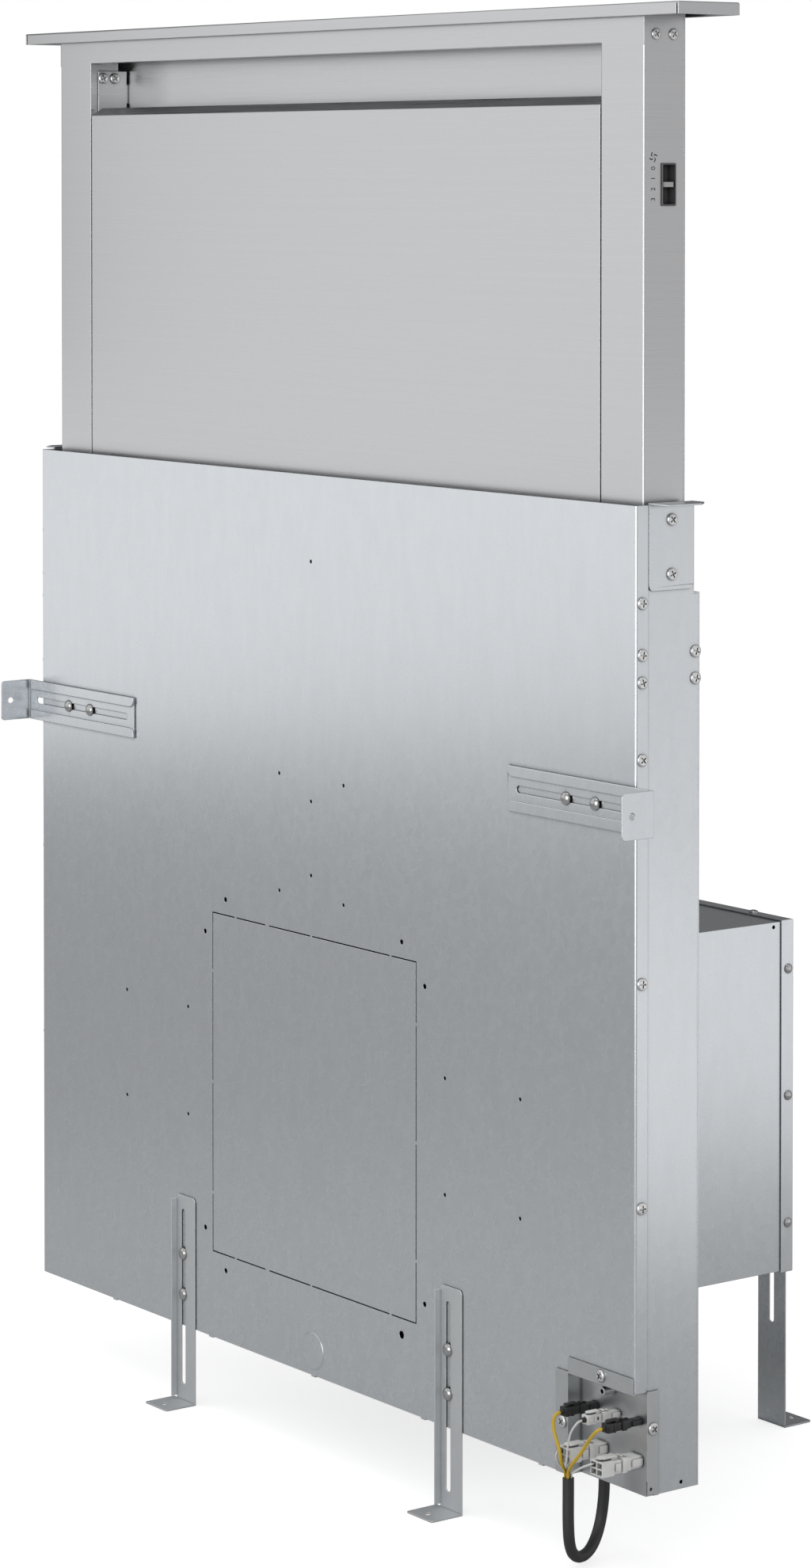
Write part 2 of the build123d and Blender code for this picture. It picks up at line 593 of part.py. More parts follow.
def inlet_ring():
    """Bell mouth from the rear panel's hole into the fan's eye."""
    mid = housing_rear + sheet / 2
    path = FilletPolyline((inlet_flange_r + inlet_lip, mid), (inlet_r + inlet_mouth, mid),
                          (inlet_r, mid + inlet_mouth), (inlet_r, fan_front - 1), radius=inlet_bend)
    profile = Plane(origin=(fan_x, 0, fan_z)) * trace(path, sheet)
    return revolve(profile, Axis((fan_x, 0, fan_z), (0, 1, 0)))


def outlet_plate():
    """Adapter on the box's floor: rectangular scroll outlet above, round collar below."""
    left, right = fan_x + tongue_x + sheet, fan_x + scroll_end - sheet
    half = collar_r + plate_rim
    z = (box_low + 2 * sheet, box_low + 3 * sheet)
    plate = block((collar_x - half, collar_x + half), (collar_y - half, collar_y + half), z)
    plate = fillet(plate.edges().filter_by(Axis.Z), 8)
    return plate - block((left, right), (scroll_front_y + sheet, scroll_rear_y - sheet), (z[0] - 1, z[1] + 1))


def blade(angle):
    """One forward-curved blade of the fan, drawn in (x, z)."""
    rim, root = fan_r - 0.4, fan_inner_r
    lean, sweep = 3.0, 11.0

    def at(r, degrees):
        turned = math.radians(angle + degrees)
        return fan_x + r * math.cos(turned), fan_z + r * math.sin(turned)

    middle = at((rim + root) / 2, lean)
    return trace(ThreePointArc(at(root, 0), middle, at(rim, -sweep + lean)), blade_thick)


def impeller():
    """Forward-curved drum: rear disc with hub, blade cage and front ring."""
    disc = rod_y(fan_r, fan_x, (fan_rear, fan_rear + 1.5), fan_z)
    hub = rod_y(12, fan_x, (fan_rear - 14, fan_rear + 4), fan_z)
    ring = rod_y(fan_r + 1, fan_x, (fan_front, fan_front + 3), fan_z)
    ring -= rod_y(fan_inner_r + 4, fan_x, (fan_front - 1, fan_front + 4), fan_z)
    cage = [along_y(blade(360 * i / blades), (fan_front + 2, fan_rear + 0.5)) for i in range(blades)]
    wheel = disc + [hub, ring] + cage
    return wheel - rod_y(shaft_r, fan_x, (0, scroll_rear_y), fan_z)


def fan_shaft():
    return rod_y(shaft_r, fan_x, (fan_rear - 16, scroll_rear_y + 20), fan_z)


def fan_motor():
    """External motor on the scroll's back plate, with cooling ribs and a terminal block."""
    front = scroll_rear_y
    flange = rod_y(fan_motor_r + 10, fan_x, (front, front + 3), fan_z)
    body = rod_y(fan_motor_r, fan_x, (front + 3, fan_motor_rear), fan_z)
    body = fillet(body.edges().group_by(Axis.Y)[-1], 5)
    box = block((fan_x - 15, fan_x + 15), (front + 14, fan_motor_rear - 14),
                (fan_z, fan_z + fan_motor_r + 14))
    bore = rod_y(shaft_r + run_fit, fan_x, (front - 1, scroll_rear_y + 20 + move_gap), fan_z)
    return flange + body + box - bore


def duct_collar():
    """Round duct spigot under the box, its flange against the floor."""
    top = box_low + sheet
    ring = rod_z(collar_r, collar_x, collar_y, (collar_low, top))
    ring += rod_z(collar_r + collar_rim, collar_x, collar_y, (top - sheet, top))
    ring -= rod_z(collar_r - sheet, collar_x, collar_y, (collar_low - 1, top + 1))
    return ring - rod_x(damper_pin_r, (collar_x - collar_r - 1, collar_x + collar_r + 1), collar_y, damper_z)


def damper_pin():
    return rod_x(damper_pin_r, (collar_x - collar_r, collar_x + collar_r), collar_y, damper_z)


def damper_flap(front):
    """Half disc hung on the pin by two knuckles, notched round the other flap's knuckles."""
    z = (damper_z + knuckle_r - sheet, damper_z + knuckle_r)
    r = collar_r - sheet - 0.7
    own, other = ((-56, -30), (22, 48)), ((-24, 2), (52, 64))
    if not front:
        own, other = other, own
    disc = rod_z(r, collar_x, collar_y, z)
    side = -1 if front else 1
    near = (collar_y + side * move_gap, collar_y + side * (r + 1))
    flap = disc & block((collar_x - r - 1, collar_x + r + 1), (min(near), max(near)), (z[0] - 1, z[1] + 1))
    reach = (collar_y - knuckle_r - move_gap, collar_y + knuckle_r + move_gap)
    for low, high in other:
        flap -= block((collar_x + low - 0.5, collar_x + high + 0.5), reach, (z[0] - 1, z[1] + 1))
    for low, high in own:
        flap += rod_x(knuckle_r, (collar_x + low, collar_x + high), collar_y, damper_z)
    bore = (collar_x - collar_r, collar_x + collar_r)
    return flap - rod_x(damper_pin_r + run_fit, bore, collar_y, damper_z)


# ---------------- riser ----------------

def riser_frame():
    """Front face, sides and rear flanges in one folded sheet, with the big front opening."""
    shell = block((-riser_half, riser_half), (0, riser_depth - sheet), (riser_bottom, riser_top - seam_down))
    shell = fillet(shell.edges().filter_by(Axis.Z).group_by(Axis.Y)[0], 1.3)
    shell += block((-riser_half, riser_half), (0, riser_depth - sheet), (riser_top - seam_down, riser_top))
    inner = riser_half - sheet
    shell -= block((-inner, inner), (sheet, riser_depth), (riser_bottom - 1, riser_top + 1))
    low = filter_bottom - hinge_drop
    shell -= block((-stile_in, stile_in), (-1, sheet + 1), (low, slot_top))
    for side in (-1, 1):
        rear = sorted((side * (riser_half - sheet), side * (riser_half - 19)))
        shell += block(rear, (riser_depth - 2 * sheet, riser_depth - sheet), (riser_bottom, riser_top))
        edge = sorted((side * stile_in, side * (stile_in + sheet)))
        shell += block(edge, (0, stile_return), (low, slot_top + sheet))
    shell += block((-stile_in, stile_in), (0, 9), (slot_top, slot_top + sheet))
    cuts = [rod_x(screw_hole_r, (-riser_half - 1, riser_half + 1), y, side_screw_z) for y in side_screw_y]
    cuts += [rod_x(screw_hole_r, (-stile_in - 2, stile_in + 2), y, slot_screw_z) for y in slot_screw_y]
    cuts += [rod_x(hinge_r + run_fit, (-stile_in - 2, stile_in + 2), hinge_y, hinge_z)]
    cuts.append(block((riser_half - 2, riser_half + 1), *switch_opening()))
    return shell - cuts


def riser_back():
    return block((-riser_half, riser_half), (riser_depth - sheet, riser_depth), (riser_bottom, riser_top))


def cap():
    """Folded tray lid; its front and rear skirts stop short of the end skirts, leaving upright slits."""
    low = cap_top - cap_skirt
    tray = block((-cap_half, cap_half), (cap_front, cap_rear), (low, cap_top))
    tray = fillet(tray.edges().group_by(Axis.Z)[-1], 1.0)
    inner = cap_half - sheet
    tray -= block((-inner, inner), (cap_front + sheet, cap_rear - sheet), (low - 1, riser_top))
    cuts = []
    for side in (-1, 1):
        x = sorted((side * (cap_half - sheet), side * (cap_half - sheet - cap_slit)))
        for y in ((cap_front - 1, cap_front + sheet + 0.2), (cap_rear - sheet - 0.2, cap_rear + 1)):
            cuts.append(block(x, y, (low - 1, cap_top - 1.4)))
    return tray - cuts


def inner_wall():
    """Plate over each stile's inner wall, with one tab reaching the back panel."""
    x = (stile_in - sheet, stile_in)
    rear = riser_depth - sheet
    plate = block(x, (wall_back, rear - 1.6), (riser_bottom, wall_top))
    plate += block(x, (rear - 3, rear), (wall_top - 24, wall_top - 10))
    plate -= [rod_x(screw_hole_r, (stile_in - 3, stile_in + 3), y, slot_screw_z) for y in slot_screw_y]
    return plate


def corner_bracket():
    """Gusset inside each top corner of the frame."""
    side, front = riser_half - sheet, sheet
    inner, rear = stile_in + gusset_in, riser_depth - 2 * sheet
    angle = outline((side, front), (side, rear), (side - sheet, rear), (side - sheet, front + sheet),
                    (inner, front + sheet), (inner, front))
    gusset = along_z(angle, (side_screw_z - gusset_below, side_screw_z + gusset_above))
    return gusset - [rod_x(screw_hole_r, (side - 3, side + 3), y, side_screw_z) for y in side_screw_y]


def spindle_nut():
    """Block in the foot of each stile that runs on the spindle."""
    top = riser_bottom + nut_tall
    nut = block((stile_in + sheet, riser_half - sheet), (sheet, riser_depth - 2 * sheet), (riser_bottom, top))
    return nut - rod_z(spindle_r + run_fit, spindle_x, spindle_y, (riser_bottom - 1, top + 1))


def glide_shoe():
    shoe = block((riser_half, side_in - move_gap), (4, riser_depth - 4.4), (riser_bottom + 1, guide_z - 2))
    return chamfer(shoe.edges().group_by(Axis.X)[-1], 1.5)


def filter_rails():
    """Upper ledge and lower channel that hold the grease filters and seal round them."""
    half = stile_in - sheet
    rear = riser_depth - sheet
    ledge = block((-half, half), (filter_front - sheet, rear), (filter_high, filter_high + sheet))
    ledge += block((-half, half), (filter_front - sheet, filter_front),
                   (filter_high - ledge_drop, filter_high + sheet))
    back = filter_front + filter_thick
    low = block((-half, half), (wall_back, back + sheet), (filter_low - sheet, filter_low))
    low += block((-half, half), (wall_back, wall_back + sheet), (filter_low - sheet, filter_low + channel_up))
    low += block((-half, half), (back, back + sheet), (filter_low - sheet, filter_low + channel_up))
    return [ledge, low]


def grease_filter():
    """Framed mesh cassette; its core stands between two shallow pockets."""
    x = (0.5, stile_in - sheet - 0.5)
    y = (filter_front, filter_front + filter_thick)
    z = (filter_low, filter_high)
    cassette = block(x, y, z)
    opening = (x[0] + filter_frame, x[1] - filter_frame), (z[0] + filter_frame, z[1] - filter_frame)
    cassette -= block(opening[0], (y[0] - 1, y[0] + 2.5), opening[1])
    return cassette - block(opening[0], (y[1] - 2.5, y[1] + 1), opening[1])


def filter_cover():
    """Front panel with a lip sloping up and back, mitred at its ends, and return flanges."""
    half = stile_in - filter_gap
    mid = sheet / 2
    path = Polyline((mid, filter_bottom), (mid, filter_top), (lip_back, filter_top + lip_rise))
    panel = along_x(trace(path, sheet), (-half, half))
    for side in (-1, 1):
        mitre = outline((side * (half + 1), sheet), (side * (half + 1), lip_back + 2),
                        (side * (half - lip_back), lip_back + 2), (side * half, sheet))
        panel -= along_z(mitre, (filter_top, filter_top + 12))
        x = sorted((side * half, side * (half - sheet)))
        panel += block(x, (0, 5.5), (filter_bottom, filter_top - 1.5))
    panel += block((-half, half), (0, 5.5), (filter_bottom, filter_bottom + sheet))
    return panel - rod_x(hinge_r, (-half - 1, half + 1), hinge_y, hinge_z)


def cover_pins():
    half = stile_in - filter_gap - sheet
    return pair(rod_x(hinge_r, (half - 4, stile_in + sheet + 1.5), hinge_y, hinge_z))


def cover_magnet():
    """Magnet block on each inner wall plate, stepped clear of the filter cover's flange."""
    wall = stile_in - sheet
    clear = stile_in - filter_gap - sheet - 0.5
    front, rear = sheet + move_gap, filter_front - 0.8
    step = outline((wall - magnet_wide, front), (clear, front), (clear, wall_back), (wall, wall_back),
                   (wall, rear), (wall - magnet_wide, rear))
    top = filter_top - magnet_down
    return along_z(step, (top - magnet_tall, top))


# ---------------- speed switch ----------------

def switch_opening():
    """y and z spans of the riser's cut-out, which the bezel laps by its lip."""
    return ((switch_y[0] + bezel_lip, switch_y[1] - bezel_lip),
            (switch_z[0] + bezel_lip, switch_z[1] - bezel_lip))


def switch_body():
    """Moulded body behind the stile with a bevelled bezel outside and a pocket for the slider."""
    face = riser_half
    deep = face - sheet - switch_deep
    y, z = switch_y, switch_z
    body = block((deep, face - sheet), (y[0] - 1, y[1] + 1), (z[0] - 2, z[1] + 2))
    body += block((deep, face + bezel_thick), *switch_opening())
    bezel = block((face, face + bezel_thick), y, z)
    body += chamfer(bezel.edges().group_by(Axis.X)[-1], 0.3)
    inner_y, inner_z = (y[0] + pocket_in, y[1] - pocket_in), (z[0] + pocket_in, z[1] - pocket_in)
    pocket = fillet(block((face - 6, face + 2), inner_y, inner_z).edges().filter_by(Axis.X), 0.8)
    middle = (y[0] + y[1]) / 2
    slot = block((face - 10.5, face - 5), (middle - 1.6, middle + 1.6), inner_z)
    cavity = block((deep + 2, face - 10), (y[0] + 1, y[1] - 1), (z[0], z[1]))
    return body - pocket - slot - cavity


def speed_knob():
    """Crowned grip bar in the pocket, with a stem and the carriage held in the body."""
    face = riser_half
    z = (knob_z - knob_tall / 2, knob_z + knob_tall / 2)
    low, high = switch_y[0] + pocket_in + move_gap, switch_y[1] - pocket_in - move_gap
    middle = (low + high) / 2
    rear, out = face - 6 + move_gap, face + knob_out
    crown = ThreePointArc((out - knob_crown, low), (out, middle), (out - knob_crown, high))
    sides = Polyline((out - knob_crown, high), (rear, high), (rear, low), (out - knob_crown, low))
    grip = along_z(make_face(crown + sides), z)
    stem = block((face - 11, rear), (middle - 1.2, middle + 1.2), (z[0] + 0.3, z[1] - 0.3))
    carriage = block((face - 13, face - 10 - move_gap), (middle - 3, middle + 3),
                     (knob_z - 2.2, knob_z + 2.2))
    return grip + stem + carriage


# ---------------- slotted brackets and legs ----------------

def wall_bracket():
    """Right bracket: slotted strip with hemmed edges and an end flange turned forward."""
    rear = slider_face
    front = rear - sheet
    strip = block((wall_inner, wall_reach), (front, rear), (wall_low, wall_high))
    for z in ((wall_low, wall_low + wall_hem), (wall_high - wall_hem, wall_high)):
        hem = block((wall_inner, wall_reach - 4), (front - sheet, front), z)
        near = hem.edges().filter_by(Axis.Y).group_by(Axis.X)[0]
        inner = near.sort_by(Axis.Z)[-1 if z[0] == wall_low else 0]
        strip += fillet(inner, 5)
    flange = block((wall_reach - sheet, wall_reach), (-wall_front_reach, rear), (wall_low, wall_high))
    corners = flange.edges().filter_by(Axis.X).group_by(Axis.Y)[0]
    strip += fillet(corners, 3)
    strip -= rod_x(foot_hole_r, (wall_reach - 2, wall_reach + 1), foot_hole_y, wall_mid)
    slot = Pos(0, wall_mid) * slot_face(*wall_slot, wall_slot_r, False)
    return strip - along_y(slot, (front - 2, rear + 1))


def front_leg():
    """Slotted upright with a narrow rib on one edge and a foot turned forward, at x = 0."""
    rear = slider_face
    front = rear - sheet
    web = block((-leg_left, leg_right), (front, rear), (-foot_drop, leg_top))
    web = fillet(web.edges().filter_by(Axis.Y).group_by(Axis.Z)[-1], 3)
    rib = block((-leg_left, -leg_left + sheet), (front - leg_rib, front),
                (-foot_drop + 2 + sheet, leg_top - 3))
    foot = block((-foot_left, leg_right), (-foot_reach, rear), (-foot_drop, -foot_drop + sheet))
    foot = fillet(foot.edges().filter_by(Axis.Z).group_by(Axis.Y)[0], 2)
    foot -= rod_z(foot_hole_r, 0, foot_hole_y, (-foot_drop - 1, -foot_drop + 2))
    slot = slot_face(*leg_slot, leg_slot_r, True)
    return web + rib + foot - along_y(slot, (front - 1, rear + 1))


def rear_leg():
    """Plain slotted strip with its foot turned to the rear."""
    x = (rear_leg_x - rear_leg_half, rear_leg_x + rear_leg_half)
    y = (rear_slider, rear_slider + sheet)
    strip = block(x, y, (-foot_drop, rear_leg_top))
    strip = fillet(strip.edges().filter_by(Axis.Y).group_by(Axis.Z)[-1], 3)
    foot = block(x, (y[0], rear_reach), (-foot_drop, -foot_drop + sheet))
    foot = fillet(foot.edges().filter_by(Axis.Z).group_by(Axis.Y)[-1], 3)
    foot -= rod_z(foot_hole_r, rear_leg_x, rear_reach - 6.3, (-foot_drop - 1, -foot_drop + 2))
    slot = Pos(rear_leg_x, 0) * slot_face(*rear_leg_slot, wall_slot_r, True)
    return strip + foot - along_y(slot, (y[0] - 1, y[1] + 1))


# ---------------- screws ----------------

def fastener(head_r, head, shank_r, shank, dome):
    """Head on z = 0 with its shank below; a dome head is bevelled."""
    top = rod_z(head_r, 0, 0, (0, head))
    if dome:
        top = chamfer(top.edges().group_by(Axis.Z)[-1], head * 0.55)
    return top + rod_z(shank_r, 0, 0, (-shank, 0))


def bolt(place, turn):
    return Pos(*place) * turn * fastener(bolt_head_r, bolt_head, bolt_r, 4.0, True)


def screw(place, turn, shank=3.0, head_r=screw_head_r, head=screw_head):
    return Pos(*place) * turn * fastener(head_r, head, screw_r, shank, False)


def tray_screw(place, turn):
    return Pos(*place) * turn * fastener(tray_head_r, tray_head, screw_r, 3.0, True)


to_front, to_rear = Rot(90, 0, 0), Rot(-90, 0, 0)
to_right, to_left, to_top, to_floor = Rot(0, 90, 0), Rot(0, -90, 0), Rot(0, 0, 0), Rot(180, 0, 0)


def cover_screws():
    """Sheet screws of the housing: flanges, rear edges, counter brackets and wiring box."""
    screws = []
    for side, turn in ((1, to_right), (-1, to_left)):
        screws += [screw((side * cover_half, screw_flange_y, z), turn) for z in flange_screw_z]
        screws += [screw((side * side_out, screw_rear_y, z), turn) for z in rear_screw_z]
        face = side * (side_out + support_thick)
        screws += [screw((face, support_screw_y, z), turn) for z in support_screw_z]
    screws.append(screw((flange_screw_x, cover_front - sheet, recess_top / 2), to_front))
    screws.append(screw((recess_screw_x, cover_front - sheet, recess_screw_z), to_front))
    screws.append(screw((cover_half, recess_side_y, recess_side_z), to_right))
    return screws


def slider_bolts():
    """Dome bolts that clamp the slotted brackets and legs."""
    heads = []
    front = slider_face - sheet - slide_gap
    for side in (-1, 1):
        heads += [bolt((side * x, front, wall_mid), to_front) for x in wall_bolts]
        heads += [bolt((side * leg_x, front, z), to_front) for z in leg_bolt_z]
        heads += [bolt((side * rear_leg_x, rear_slider + sheet + slide_gap, z), to_rear) for z in rear_bolt_z]
    return heads


def blower_screws():
    rear = box_rear - tray_deep / 2 + 0.5
    screws = []
    for side, turn in ((1, to_right), (-1, to_left)):
        screws += [tray_screw((side * box_half, rear, z), turn) for z in tray_screw_z]
    for z, turn in ((box_high, to_top), (box_low, to_floor)):
        screws += [tray_screw((side * tray_screw_x, rear, z), turn) for side in (-1, 1)]
    return screws


def riser_screws():
    screws = []
    for side, turn, inward in ((1, to_right, to_left), (-1, to_left, to_right)):
        screws += [screw((side * riser_half, y, side_screw_z), turn, 3.0, side_head_r, side_head)
                   for y in side_screw_y]
        screws += [screw((side * (stile_in - sheet), y, slot_screw_z), inward, 2.0) for y in slot_screw_y]
    return screws


# ---------------- plugs, sockets and cords ----------------

def socket(x, z, size, joint):
    """Panel socket: shoulder over the plug's rear, neck with two catches, tail behind the plate."""
    half_w, half_h = size[0] / 2, size[1] / 2
    back = joint + shoulder_long
    shoulder = block((x - half_w, x + half_w), (joint, back), (z - half_h, z + half_h))
    neck = block((x - half_w + 1, x + half_w - 1), (back, plate_y + 4.5), (z - half_h + 1, z + half_h - 1))
    ears = [block(sorted((x + side * (half_w - 1), x + side * (half_w - 1 + ear_out))),
                  (back, plate_y), (z - half_h * 0.5, z + half_h * 0.5)) for side in (-1, 1)]
    return shoulder + [neck] + ears


def plug(x, z, front, size, joint, boot):
    """Free plug, slimmer at the rear, with a latch arm on top; a boot or four wire cavities in front."""
    half_w, half_h = size[0] / 2, size[1] / 2
    middle = (front + joint) / 2 + 1
    body = block((x - half_w, x + half_w), (front, middle), (z - half_h, z + half_h))
    slim_w, slim_h = half_w - plug_step, half_h - plug_step
    body += block((x - slim_w, x + slim_w), (middle, joint), (z - slim_h, z + slim_h))
    across, top = (x - half_w * 0.55, x + half_w * 0.55), z + half_h + 2.0
    arm = block(across, (front + 1, joint - 1), (top - 1.3, top))
    arm = fillet(arm.edges().filter_by(Axis.X).group_by(Axis.Y)[0], 0.5)
    root = block(across, (joint - 4.5, joint - 1), (z + slim_h, top))
    body += arm + root
    if boot:
        return body + (rod_y(boot_r, x, (front - boot_long, front), z)
                       - rod_y(boot_bore, x, (front - boot_long - 1, front), z))
    quarter_w, quarter_h = half_w / 2 - 0.2, half_h / 2 - 0.2
    for side in (-1, 1):
        for up in (-1, 1):
            cx, cz = x + side * (quarter_w + 0.4), z + up * (quarter_h + 0.4)
            body -= block((cx - quarter_w + 0.5, cx + quarter_w - 0.5), (front - 1, front + cavity_deep),
                          (cz - quarter_h + 0.5, cz + quarter_h - 0.5))
    return body


def mated(plugs, size, long, boot):
    """Plugs and sockets of one size, face to face."""
    free, fixed = [], []
    for along, z, front in plugs:
        x, joint = recess_left + along, front + long
        free.append(plug(x, z, front, size, joint, boot))
        fixed.append(socket(x, z, size, joint))
    return free, fixed


def tube(route, r):
    """Straight runs joined by tangent arcs, as large as the runs allow."""
    radii = []
    for a, b, c in zip(route, route[1:], route[2:]):
        first, second = Vector(*b) - Vector(*a), Vector(*c) - Vector(*b)
        half_turn = math.radians(first.get_angle(second)) / 2
        radii.append(0.45 * min(first.length, second.length) / math.tan(half_turn))
    path = FilletPolyline(*route, radius=radii)
    print("cord", round(path.length, 1), "mm long, tightest bend", round(min(radii), 1), "radius", r)
    start = Plane(origin=route[0], z_dir=path % 0)
    return Pos(recess_left, 0, 0) * sweep(start * Circle(r), path=path)


def pieces():
    black_free, black_fixed = mated(black_plugs, small_size, plug_long_small, True)
    small_free, small_fixed = mated(white_small, small_size, plug_long_small, True)
    large_free, large_fixed = mated(white_large, large_size, plug_long_large, False)
    leg = front_leg()
    right_wall = wall_bracket()
    right_rear = rear_leg()
    right_spindle = spindle()
    right_pulley = pulley()
    right_panel = side_panel(True)
    return {
        "front_cover": front_cover(),
        "side_panel_right": right_panel,
        "side_panel_left": flip(side_panel(False)),
        "rear_panel": rear_panel(),
        "bottom_panel": bottom_panel(),
        "wiring_box": wiring_box(),
        "counter_brackets": counter_brackets(),
        "upper_guides": pair(upper_guide()),
        "spindle_bearings": pair(spindle_bearing()),
        "spindle_foot": spindle_foot(),
        "lift_motor": lift_motor(),
        "drive_belt": drive_belt(),
        "control_box": control_box(),
        "cable_grommet": cable_grommet(),
        "panel_sockets_black": black_fixed,
        "panel_sockets_white": small_fixed + large_fixed,
        "blower_box": blower_box(),
        "blower_rear_cover": blower_rear_cover(),
        "scroll_wall": scroll_wall(),
        "scroll_front": scroll_front(),
        "scroll_back": scroll_back(),
        "inlet_ring": inlet_ring(),
        "outlet_plate": outlet_plate(),
        "fan_motor": fan_motor(),
        "duct_collar": duct_collar(),
        "damper_pin": damper_pin(),
        "cover_screws": cover_screws(),
        "slider_bolts": slider_bolts(),
        "blower_screws": blower_screws(),
        "riser_frame": riser_frame(),
        "riser_back": riser_back(),
        "cap": cap(),
        "inner_walls": pair(inner_wall()),
        "corner_brackets": pair(corner_bracket()),
        "spindle_nuts": pair(spindle_nut()),
        "glide_shoes": pair(glide_shoe()),
        "filter_rails": filter_rails(),
        "grease_filters": pair(grease_filter()),
        "cover_magnets": pair(cover_magnet()),
        "switch_body": switch_body(),
        "riser_screws": riser_screws(),
        "filter_cover": filter_cover(),
        "cover_pins": cover_pins(),
        "speed_knob": speed_knob(),
        "spindle_right": [right_spindle, right_pulley],
        "spindle_left": [flip(right_spindle), flip(right_pulley)],
        "impeller": [impeller(), fan_shaft()],
        "damper_flap_front": damper_flap(True),
        "damper_flap_rear": damper_flap(False),
        "wall_bracket_right": right_wall,
        "wall_bracket_left": flip(right_wall),
        "front_leg_right": Pos(leg_x, 0, 0) * leg,
        "front_leg_left": Pos(-leg_x, 0, 0) * leg,
        "rear_leg_right": right_rear,
        "rear_leg_left": flip(right_rear),
        "cable_sleeve": tube(sleeve_route, sleeve_r),
        "wires_yellow": [tube(route, yellow_r) for route in yellow_routes],
        "wires_white": [tube(route, white_r) for route in white_routes],
        "plugs_black": black_free,
        "plugs_white": small_free + large_free,
    }


def solids_of(shape):
    """All solids of a piece or of a list of pieces."""
    parts = shape if isinstance(shape, list) else [shape]
    return [solid for part in parts for solid in part.solids()]


def write(made):
    os.makedirs("parts", exist_ok=True)
    for name, shape in made.items():
        solids = [origin_shift * solid for solid in solids_of(shape)]
        export_step(Compound(children=solids) if len(solids) > 1 else solids[0], "parts/" + name + ".step")
    print(len(made), "pieces written")


if __name__ == "__main__":
    write(pieces())
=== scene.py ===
import json
import math

import bmesh
import bpy
from mathutils import Matrix, Vector


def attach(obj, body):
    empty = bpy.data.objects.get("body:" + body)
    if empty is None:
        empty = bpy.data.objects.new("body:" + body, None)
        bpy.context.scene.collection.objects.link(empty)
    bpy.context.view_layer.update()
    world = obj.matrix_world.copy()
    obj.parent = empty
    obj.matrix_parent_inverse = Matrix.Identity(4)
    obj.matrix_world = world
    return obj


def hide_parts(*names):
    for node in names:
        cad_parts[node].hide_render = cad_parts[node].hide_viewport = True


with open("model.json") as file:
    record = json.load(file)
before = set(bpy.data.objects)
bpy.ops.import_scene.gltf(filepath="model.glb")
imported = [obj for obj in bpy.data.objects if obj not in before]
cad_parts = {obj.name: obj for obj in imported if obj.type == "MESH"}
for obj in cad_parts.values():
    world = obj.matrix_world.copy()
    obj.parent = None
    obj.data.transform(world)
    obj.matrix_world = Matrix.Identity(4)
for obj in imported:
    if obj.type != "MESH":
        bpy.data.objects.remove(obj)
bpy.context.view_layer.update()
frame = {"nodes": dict(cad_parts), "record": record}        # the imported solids, in metres: x to the right, y to the rear, z up from the floor
scene = bpy.context.scene
scene.view_settings.view_transform = "Standard"
print("frame loaded:", len(frame["nodes"]), "nodes")


# camera

view = {
    "place": (2.38933, -1.84006, 0.87655),
    "yaw": 53.470,            # degrees to the left of straight ahead
    "pitch": 1.4147,          # degrees down
    "focalPixels": 5407.33,
    "frameHeight": 1980,
    "middleRow": 359.5,       # row of the picture that the camera points at
}


def makeCamera(values):
    data = bpy.data.cameras.new("camera")
    data.sensor_fit = "VERTICAL"
    data.sensor_height = 36
    data.lens = data.sensor_height * values["focalPixels"] / values["frameHeight"]
    data.shift_y = values["middleRow"] / values["frameHeight"] - 0.5
    data.clip_end = 50
    camera = bpy.data.objects.new("camera", data)
    camera.location = values["place"]
    camera.rotation_euler = (math.radians(90 - values["pitch"]), 0, math.radians(values["yaw"]))
    scene.collection.objects.link(camera)
    scene.camera = camera


makeCamera(view)
print("camera placed")


# small helpers for meshes and materials

def newObject(name, mesh):
    item = bpy.data.objects.new(name, mesh)
    scene.collection.objects.link(item)
    return item


# build fills a bmesh; the result has its normals outward
def meshFrom(name, build):
    shape = bmesh.new()
    build(shape)
    bmesh.ops.recalc_face_normals(shape, faces=shape.faces)
    mesh = bpy.data.meshes.new(name)
    shape.to_mesh(mesh)
    shape.free()
    return mesh


def newMaterial(name):
    material = bpy.data.materials.new(name)
    material.use_nodes = True
    tree = material.node_tree
    return material, tree, tree.nodes["Principled BSDF"]


# inputs are given by their name with underscores for spaces; anything else is a property
def addNode(tree, kind, **settings):
    node = tree.nodes.new(kind)
    for key, value in settings.items():
        label = key.replace("_", " ")
        if label in node.inputs:
            node.inputs[label].default_value = value
        else:
            setattr(node, key, value)
    return node


# object coordinates in metres, stretched by scale
def objectPattern(tree, scale):
    place = addNode(tree, "ShaderNodeTexCoord")
    mapping = addNode(tree, "ShaderNodeMapping")
    mapping.inputs["Scale"].default_value = scale
    tree.links.new(place.outputs["Object"], mapping.inputs["Vector"])
    return mapping.outputs["Vector"]


def toneRamp(tree, factor, stops):
    ramp = addNode(tree, "ShaderNodeValToRGB")
    points = ramp.color_ramp.elements
    while len(points) < len(stops):
        points.new(0.5)
    for point, (place, tone) in zip(points, stops):
        point.position = place
        point.color = (*tone, 1) if isinstance(tone, tuple) else (tone, tone, tone, 1)
    tree.links.new(factor, ramp.inputs["Fac"])
    return ramp.outputs["Color"]


def blendTones(tree, kind, amount, first, second):
    mix = addNode(tree, "ShaderNodeMix", data_type="RGBA", blend_type=kind)
    mix.inputs["Factor"].default_value = amount
    tree.links.new(first, mix.inputs["A"])
    tree.links.new(second, mix.inputs["B"])
    return mix.outputs["Result"]


